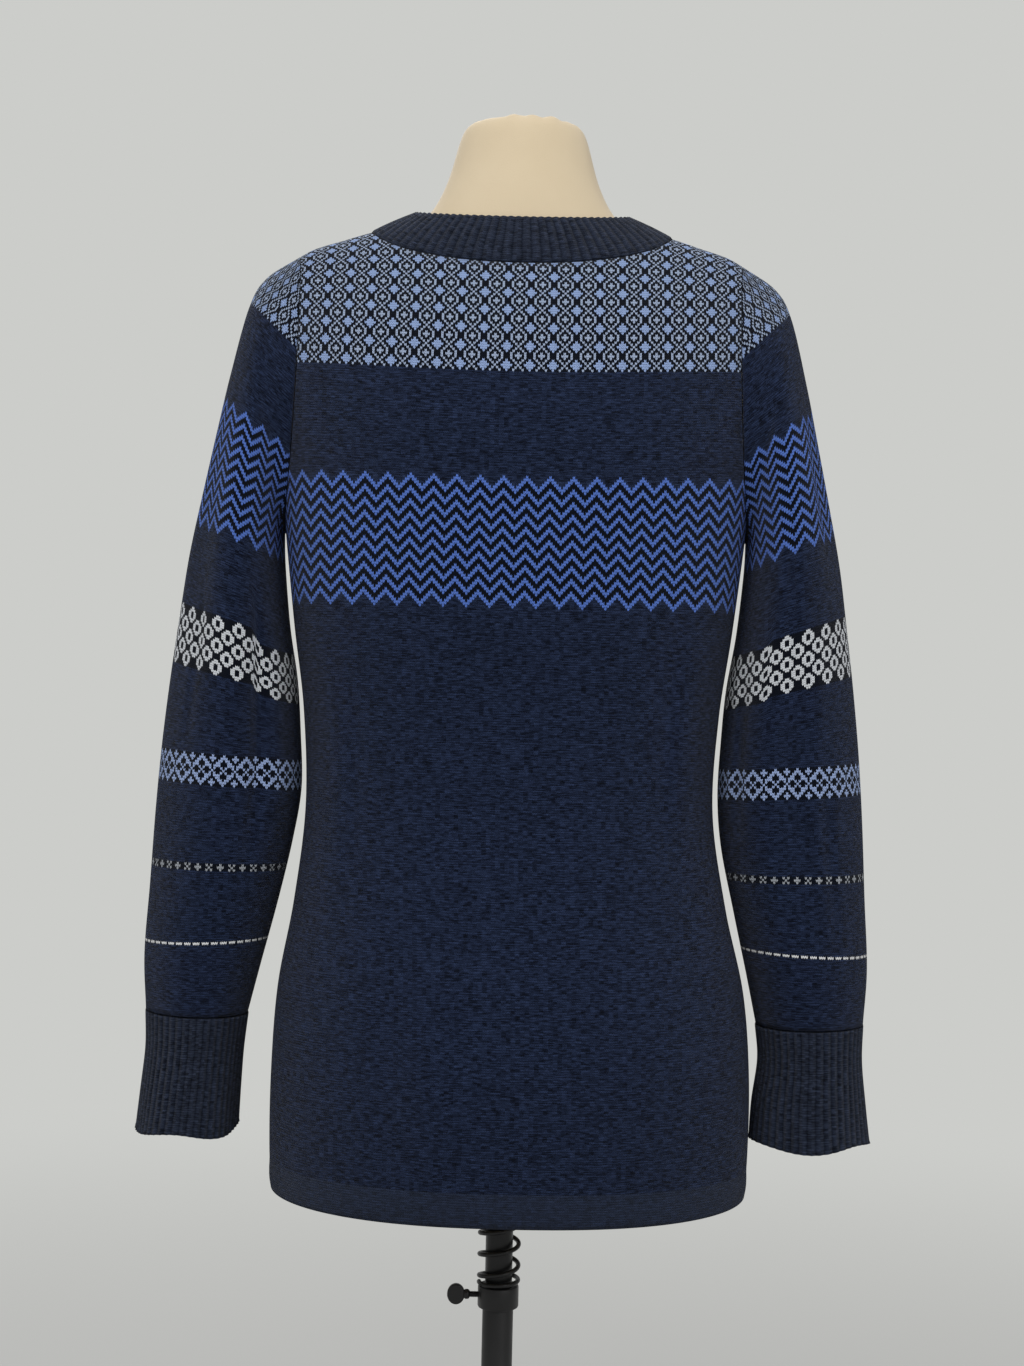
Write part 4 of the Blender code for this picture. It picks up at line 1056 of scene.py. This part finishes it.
def build_screw(black):
    """The thumb screw: a threaded shaft and an oval head with softened edges."""
    shaft = [(0.0, 0.0117), (0.0016, 0.0117), (0.0021, 0.0122)]
    z = THREAD_FROM
    while z < THREAD_TO:
        shaft += [(0.0022, z), (0.0022, z + 0.0002), (0.0019, z + 0.0004), (0.0019, z + 0.0005)]
        z += THREAD_PITCH
    shaft += [(0.0032, 0.0215), (0.0036, 0.0225), (0.0036, 0.0240), (0.0030, 0.0250), (0.0, 0.0255)]
    mesh = lathe(shaft, 32)
    turn = Matrix.Translation((0, 0, SCREW_Z)) @ Matrix.Rotation(math.pi / 2, 4, "Y")
    bmesh.ops.transform(mesh, matrix=turn, verts=mesh.verts)
    size = Matrix.Translation((HEAD_AT, 0, SCREW_Z)) @ Matrix.Diagonal((*HEAD_HALF, 1.0))
    head = cylinder(1.0, 2.0, 48, size @ Matrix.Rotation(math.pi / 2, 4, "X"))
    rims = [edge for edge in head.edges if abs(edge.verts[0].co.y - edge.verts[1].co.y) < TINY]
    bmesh.ops.bevel(head, geom=rims, offset=HEAD_EDGE, affect="EDGES", segments=4, profile=0.5,
                    material=-1)
    data = meshed("head", head)
    mesh.from_mesh(data)
    bpy.data.meshes.remove(data)
    soften(piece("thumb_screw_turned", mesh, (black,), "screw", "thumb_screw"))


def build_buttons(plastic):
    """Four-hole buttons with a raised rim, each on the middle of the outer band."""
    profile = [(BUTTON_RADIUS * out, BUTTON_THICK * up) for out, up in BUTTON_PROFILE]
    for number in (1, 2, 3):
        node = "button_%d" % number
        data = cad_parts[node].data
        middle = sum((vert.co for vert in data.vertices), Vector()) / len(data.vertices)
        out = Vector()
        for face in data.polygons:
            if face.normal.y < -0.5:
                out += face.normal * face.area
        out.normalize()
        along = out.cross(Vector((1, 0, 0))).normalized()
        foot = min((vert.co - middle).dot(out) for vert in data.vertices)
        turn = Matrix((along.cross(out), along, out)).transposed().to_4x4()
        turn.translation = middle + out * foot
        obj = piece(node + "_turned", lathe(profile, 48), (plastic,), "form", node)
        for x, y in ((1, 1), (-1, 1), (-1, -1), (1, -1)):
            place = Matrix.Translation((x * BUTTON_HOLE_AT, y * BUTTON_HOLE_AT, 0.001))
            bored(obj, cylinder(BUTTON_HOLE, 0.006, 16, place))
        obj.data.transform(turn)
        soften(obj)


def operator(operation, swapped=False):
    """A method of Value that adds a Math node."""
    def method(self, *others):
        values = (*others, self) if swapped else (self, *others)
        return calc(self.tree, operation, *values)
    return method


class Value:
    """An output in a node tree. Sums of values and numbers become Math nodes. A mask is a
    value of 0 or 1."""
    __add__ = operator("ADD")
    __sub__ = operator("SUBTRACT")
    __rsub__ = operator("SUBTRACT", swapped=True)
    __mul__ = operator("MULTIPLY")
    __and__ = operator("MULTIPLY")
    __or__ = operator("MAXIMUM")
    __mod__ = operator("FLOORED_MODULO")
    __pow__ = operator("POWER")
    __lt__ = operator("LESS_THAN")
    __gt__ = operator("GREATER_THAN")
    __abs__ = operator("ABSOLUTE")
    floor = operator("FLOOR")
    fract = operator("FRACT")
    sine = operator("SINE")
    least = operator("MINIMUM")

    def __init__(self, tree, socket):
        self.tree = tree
        self.socket = socket


def connect(tree, node, inputs):
    """Give a node's inputs, by name or number, their values."""
    for label, value in inputs.items():
        if isinstance(value, Value):
            tree.links.new(value.socket, node.inputs[label])
        else:
            node.inputs[label].default_value = value


def add_node(tree, kind, inputs, output=0, **settings):
    """Add a shader node, and give one of its outputs."""
    node = tree.nodes.new("ShaderNode" + kind)
    for name, setting in settings.items():
        setattr(node, name, setting)
    connect(tree, node, inputs)
    return Value(tree, node.outputs[output])


def calc(tree, operation, *values):
    """A Math node on values and plain numbers."""
    return add_node(tree, "Math", dict(enumerate(values)), operation=operation)


def new_group(name, inputs, build):
    """A shader node group. Build turns its inputs into a table of named outputs."""
    group = bpy.data.node_groups.new(name, "ShaderNodeTree")
    for label in inputs:
        kind = "NodeSocketVector" if label in ("Stitch", "Place") else "NodeSocketFloat"
        group.interface.new_socket(label, in_out="INPUT", socket_type=kind)
    start = group.nodes.new("NodeGroupInput")
    outputs = build(*(Value(group, start.outputs[label]) for label in inputs))
    for label in outputs:
        group.interface.new_socket(label, in_out="OUTPUT", socket_type="NodeSocketFloat")
    connect(group, group.nodes.new("NodeGroupOutput"), outputs)
    return group


def use_group(tree, group, inputs):
    """Place a group, and give its outputs by name."""
    node = tree.nodes.new("ShaderNodeGroup")
    node.node_tree = group
    connect(tree, node, inputs)
    return {socket.name: Value(tree, socket) for socket in node.outputs}


def mixed(share, first, second):
    """A colour between two, which are values or plain colours."""
    first, second = (c if isinstance(c, Value) else linear(c) for c in (first, second))
    return add_node(share.tree, "Mix", {0: share, 6: first, 7: second}, 2, data_type="RGBA")


def split(vector):
    """The parts of a vector."""
    node = vector.tree.nodes.new("ShaderNodeSeparateXYZ")
    connect(vector.tree, node, {0: vector})
    return [Value(vector.tree, socket) for socket in node.outputs]


def folded(value, period, centre):
    """Distance from the nearest repeat of a centre, in whole stitches."""
    half = period // 2
    return abs((value + (half - centre)) % float(period) - float(half))


def below(value, limit):
    """1 where the value is at most a whole number."""
    return value < limit + 0.5


def same(a, b):
    """1 where two whole numbers are equal."""
    return calc(a.tree, "COMPARE", a, b, 0.5)


def rows_between(row, first, last):
    """1 on the rows from first up to last."""
    return (row > first - 0.5) & (row < last + 0.5)


def stitch_relief(stitch):
    """Column and row of a stitch, and the relief of its two slanted legs."""
    u, v, _ = split(stitch)
    course = v - abs(u.fract() - 0.5)
    leg = ((u * 2.0).fract() * math.pi).sine()
    strand = (course.fract() * math.pi).sine()
    relief = leg ** 0.6 * strand ** 0.4
    return {"Column": u.floor(), "Row": course.floor(), "Course": course, "Relief": relief}


def net_chart(column, row):
    """Crossing strands round small crosses, with a diamond in each gap: 10 by 8 stitches."""
    x = folded(column, 10, 0)
    y = folded(row, 8, 6)
    strand = same(x, (4.0 - y).least(3.0)) | below(x + y, 1)
    return {"Strand": strand, "Diamond": 1.0 - below(x + y, 6)}


def chevron_chart(column, row):
    """Ten zigzag lines, 10 stitches wide and 5 courses apart. Row is the fine course here."""
    climb = row + folded(column, 10, 5)
    line = climb % CHEVRON_PITCH < CHEVRON_LINE
    band = (climb > CHEVRON_PITCH) & (climb < 10 * CHEVRON_PITCH + CHEVRON_LINE)
    return {"Mask": line & band, "Band": band}


def ring_chart(column, row):
    """Five staggered rows of oval rings, 6 stitches wide and 7 rows tall, 10 stitches apart."""
    masks = []
    for shift, first, last in ((0.0, 0, 26), (5.0, 5, 21)):
        x = abs((column + shift) % 10.0 - 4.5)
        y = abs((row + (2.0 - shift)) % 10.0 - 5.0)
        inside = x < (3.5 - y).least(2.5) + 0.25
        hole = below(x, 0.4) & below(y, 1)
        masks.append(inside & (1.0 - hole) & rows_between(row, first, last))
    return {"Mask": masks[0] | masks[1]}


def lattice_chart(column, row):
    """A row of diamonds with a cross of petals in each, and small crosses between."""
    x = folded(column, 10, 0)
    y = abs(row - 6.0)
    edge = below(x + y, 6) & (below(x, 4) | below(y, 0))
    petal = below(x + y, 4) & (1.0 - same(x, y))
    cross = below((5.0 - x) + abs(y - 5.0), 1)
    return {"Mask": ((edge & (1.0 - petal)) | cross) & below(y, 6)}


def cross_chart(column, row):
    """Upright and slanted crosses in turn, 3 rows tall."""
    x = folded(column, 10, 0)
    y = abs(row - 1.0)
    far = 5.0 - x
    slanted = same(far, y) & below(far, 1)
    return {"Mask": (below(x + y, 1) | slanted) & below(y, 1)}


def dash_chart(column, row):
    """Short dashes on one row."""
    return {"Mask": (column % 4.0 < 2.5) & below(abs(row), 0)}


def heather_yarn(stitch, column, row):
    """Marled yarn: streaks along the courses, and pairs of stitches that catch more light."""
    tree = stitch.tree
    place = add_node(tree, "Mapping", {"Vector": stitch, "Scale": (0.24, 2.3, 1.0)})
    noise = {"Vector": place, "Scale": 1.0, "Detail": 2.0, "Roughness": 0.6}
    streak = {"Value": add_node(tree, "TexNoise", noise, "Fac"), "From Min": 0.45, "From Max": 0.61}
    cell = add_node(tree, "CombineXYZ", {0: (column * 0.5).floor(), 1: row})
    pair = add_node(tree, "TexWhiteNoise", {"Vector": cell}, "Value", noise_dimensions="2D")
    return {"Share": add_node(tree, "MapRange", streak) * 0.55 + pair * 0.45}


def surface_grain(place, scale):
    """Fine uneven grain of paint or plastic, with slight smudges."""
    outputs = {}
    for label, share in (("Smudge", 0.06), ("Grain", 1.0)):
        inputs = {"Vector": place, "Scale": scale * share, "Detail": 3.0}
        outputs[label] = add_node(place.tree, "TexNoise", inputs, "Fac")
    return outputs


def new_material(name):
    """A new material's nodes, with its shader."""
    material = bpy.data.materials.new(name)
    material.use_nodes = True
    return material, material.node_tree, material.node_tree.nodes["Principled BSDF"]


def knit_cell(tree, groups):
    """The stitch of a knitted cloth from the piece's own stitch map, with its share of pale
    yarn."""
    stitch = add_node(tree, "UVMap", {}, uv_map="Stitch")
    cell = use_group(tree, groups["stitch"], {"Stitch": stitch})
    inputs = {"Stitch": stitch, "Column": cell["Column"], "Row": cell["Row"]}
    return {"Stitch": stitch, **cell, **use_group(tree, groups["heather"], inputs)}


def finish_knit(tree, shader, colour, relief, low, span, depth):
    """Finish a knitted cloth: painted shade between its stitches, which are rougher there, and a little
    sheen.
    """
    # Painted shade: the colour is multiplied down towards low where the relief is lowest, between the
    # stitches.
    shade = {0: 1.0, 6: colour, 7: relief * span + low}
    connect(tree, shader, {
        "Base Color": add_node(tree, "Mix", shade, 2, data_type="RGBA", blend_type="MULTIPLY"),
        "Normal": add_node(tree, "Bump", {"Strength": 0.9, "Distance": depth, "Height": relief}),
        "Roughness": add_node(tree, "MapRange", {"Value": relief, "To Min": 0.98, "To Max": 0.80}),
        "Sheen Weight": 0.06,
        "Sheen Roughness": 0.45,
        "Specular IOR Level": 0.05,
    })


def knit_material(name, groups, bands, yoke_from, hem_below=None):
    """Heathered stockinette with its charted bands."""
    material, tree, shader = new_material(name)
    cell = knit_cell(tree, groups)
    column, row, share = cell["Column"], cell["Row"], cell["Share"]
    colour = mixed(share, NAVY, NAVY_PALE)
    if hem_below is not None:
        colour = mixed((row < hem_below - 0.5) * HEM_SHARE, colour, HEM_PALE)
    ground = mixed(share, GROUND, NAVY)
    for band in bands:
        if band.chart == "chevron":
            local = cell["Course"] - (band.first - CHEVRON_PITCH)
            masks = use_group(tree, groups[band.chart], {"Column": column, "Row": local})
            mask, whole = masks["Mask"], masks["Band"]
        else:
            local = row - float(band.first)
            whole = rows_between(row, band.first, band.first + band.height - 1)
            mask = use_group(tree, groups[band.chart], {"Column": column, "Row": local})["Mask"] & whole
        colour = mixed(whole & (1.0 - mask), colour, ground)
        colour = mixed(mask, colour, band.yarn)
    yoke = row > yoke_from - 0.5
    net = use_group(tree, groups["net"], {"Column": column, "Row": row - float(yoke_from)})
    colour = mixed(yoke, colour, ground)
    colour = mixed(yoke & net["Strand"], colour, STRAND_BLUE)
    colour = mixed(yoke & net["Diamond"], colour, DIAMOND_BLUE)
    # Painted shade between the stitches, down to 0.34 of the yarn colour.
    finish_knit(tree, shader, colour, cell["Relief"], 0.34, 0.78, 0.0005)
    return material


def rib_material(name, groups):
    """Dark ribbing: the ribs are in the cloth, and here their stitches with painted shade between them
    and in their valleys.
    """
    material, tree, shader = new_material(name)
    cell = knit_cell(tree, groups)
    # Painted shade in the valleys between the ribs: crest is low there and darkens the colour through
    # the relief.
    crest = abs((split(cell["Stitch"])[0] * (math.pi / RIB_STITCHES)).sine())
    relief = cell["Relief"] * (crest * 0.6 + 0.4)
    finish_knit(tree, shader, mixed(cell["Share"], RIB_DARK, RIB_PALE), relief, 0.14, 1.30, 0.0006)
    return material


def plain_material(name, groups):
    """The inside of the knitting, plain and a little darker."""
    material, tree, shader = new_material(name)
    cell = knit_cell(tree, groups)
    # Mild painted shade between the stitches.
    finish_knit(tree, shader, mixed(cell["Share"], GROUND, NAVY), cell["Relief"], 0.7, 0.3, 0.0004)
    return material


def cover_material():
    """Cream jersey stretched over the form: a fine weave, slightly uneven and soiled."""
    material, tree, shader = new_material("form_cover_jersey")
    place = add_node(tree, "TexCoord", {}, "Object")
    cloud = add_node(tree, "TexNoise", {"Vector": place, "Scale": 18.0, "Detail": 4.0}, "Fac")
    weave = add_node(tree, "TexNoise", {"Vector": place, "Scale": 1400.0, "Detail": 1.0}, "Fac")
    connect(tree, shader, {
        "Base Color": mixed(cloud, COVER, COVER_SOILED),
        "Normal": add_node(tree, "Bump", {"Strength": 0.5, "Distance": 0.0003, "Height": weave}),
        "Roughness": 0.85,
        "Sheen Weight": 0.15,
    })
    return material


def hard_material(grain, finish):
    """Painted steel or moulded plastic."""
    material, tree, shader = new_material(finish.name)
    place = add_node(tree, "TexCoord", {}, "Object")
    surface = use_group(tree, grain, {"Place": place, "Scale": finish.scale})
    gloss = {"Value": surface["Smudge"], "From Min": 0.3, "From Max": 0.7,
             "To Min": finish.rough - 0.08, "To Max": finish.rough + 0.10}
    raised = {"Strength": 0.4, "Distance": finish.depth, "Height": surface["Grain"]}
    connect(tree, shader, {
        "Base Color": mixed(surface["Smudge"], finish.dark, finish.pale),
        "Roughness": add_node(tree, "MapRange", gloss),
        "Normal": add_node(tree, "Bump", raised),
        "Metallic": finish.metal,
    })
    return material


def floor_material():
    """Pale paint that turns into the colour of the surroundings away from the stand."""
    material, tree, shader = new_material("floor_paint")
    connect(tree, shader, {"Base Color": linear(FLOOR), "Roughness": 0.9})
    place = add_node(tree, "TexCoord", {}, "Object")
    away = add_node(tree, "VectorMath", {0: place}, "Value", operation="LENGTH")
    far = add_node(tree, "MapRange", {"Value": away, "From Min": 0.5, "From Max": 3.5},
                   interpolation_type="SMOOTHSTEP")
    glow = add_node(tree, "Emission", {"Color": linear(SURROUNDINGS)})
    blend = add_node(tree, "MixShader", {0: far, 1: Value(tree, shader.outputs[0]), 2: glow})
    connect(tree, tree.nodes["Material Output"], {"Surface": blend})
    return material


def light_world(tree):
    """Surroundings that look even, and light the object mostly from above."""
    seen = tree.nodes["Background"]
    connect(tree, seen, {0: linear(SURROUNDINGS)})
    height = split(add_node(tree, "TexCoord", {}, "Generated"))[2]
    rise = {"Value": height, "From Min": -0.2, "From Max": 0.9, "To Min": 0.22, "To Max": 0.95}
    soft = add_node(tree, "Background", {1: add_node(tree, "MapRange", rise)})
    camera = add_node(tree, "LightPath", {}, "Is Camera Ray")
    blend = add_node(tree, "MixShader", {0: camera, 1: soft, 2: Value(tree, seen.outputs[0])})
    connect(tree, tree.nodes["World Output"], {"Surface": blend})


def add_light(name, place, target, size, power):
    """A soft rectangular light that points at a place."""
    light = bpy.data.lights.new(name, "AREA")
    light.shape = "RECTANGLE"
    light.size, light.size_y = size
    light.energy = power
    obj = linked(name, light)
    obj.location = place
    obj.rotation_euler = (Vector(target) - Vector(place)).to_track_quat("-Z", "Y").to_euler()


def build_studio():
    """Pale floor, pale surroundings and soft light from the camera's side."""
    mesh = bmesh.new()
    bmesh.ops.create_circle(mesh, cap_ends=True, segments=96, radius=40.0)
    floor = linked("floor", meshed("floor", mesh))
    floor.data.materials.append(floor_material())
    world = bpy.data.worlds.new("studio")
    world.use_nodes = True
    light_world(world.node_tree)
    bpy.context.scene.world = world
    add_light("key", (0.6, 2.0, 3.0), (0, 0, 1.15), (1.8, 1.2), 46)
    add_light("fill", (-1.8, 2.2, 2.0), (0, 0, 1.1), (1.6, 1.6), 16)
    add_light("front", (0.5, -2.0, 2.9), (0, 0, 1.15), (1.8, 1.2), 40)
    bpy.context.scene.view_settings.view_transform = "Standard"


def build_camera():
    """The photograph's view: from behind, level, 1.5 m from the pole."""
    data = bpy.data.cameras.new("camera")
    data.sensor_fit = "VERTICAL"
    data.sensor_height = 36.0
    data.lens = CAMERA_LENS
    camera = linked("camera", data)
    level = Vector((0, -1, 0)).to_track_quat("-Z", "Y").to_matrix().to_4x4()
    roll = Matrix.Rotation(math.radians(CAMERA_ROLL), 4, "Y")
    camera.matrix_world = Matrix.Translation(CAMERA_PLACE) @ roll @ level
    bpy.context.scene.camera = camera


def main():
    """Build the materials, every piece with what it is made of, and the studio."""
    charts = (("net", "crossing_net", net_chart), ("chevron", "chevron_lines", chevron_chart),
              ("ring", "oval_rings", ring_chart), ("lattice", "diamond_lattice", lattice_chart),
              ("cross", "small_crosses", cross_chart), ("dash", "short_dashes", dash_chart))
    groups = {
        "stitch": new_group("knit_stitch", ("Stitch",), stitch_relief),
        "heather": new_group("heather_yarn", ("Stitch", "Column", "Row"), heather_yarn),
    }
    for key, name, chart in charts:
        groups[key] = new_group(name, ("Column", "Row"), chart)
    inside = plain_material("knit_inside", groups)
    body_knit = (knit_material("body_fair_isle", groups, BANDS[:1], BODY_YOKE_ROW, HEM_ROW), inside)
    sleeve_knit = (knit_material("sleeve_fair_isle", groups, BANDS, SLEEVE_YOKE_ROW), inside)
    rib = (rib_material("ribbing", groups), inside)
    grain = new_group("surface_grain", ("Place", "Scale"), surface_grain)
    black, worn, steel, plastic = (hard_material(grain, finish) for finish in FINISHES)

    back, front = build_panels(body_knit)
    left, right = build_sleeves(sleeve_knit)
    cuff_left, cuff_right = build_cuffs(rib)
    neckband = build_neckband(rib)
    under, outer = build_placket(rib)
    form = build_form(cover_material())
    build_stand(black, worn)
    build_spring(steel)
    build_screw(black)
    build_buttons(plastic)
    build_studio()
    build_camera()


main()
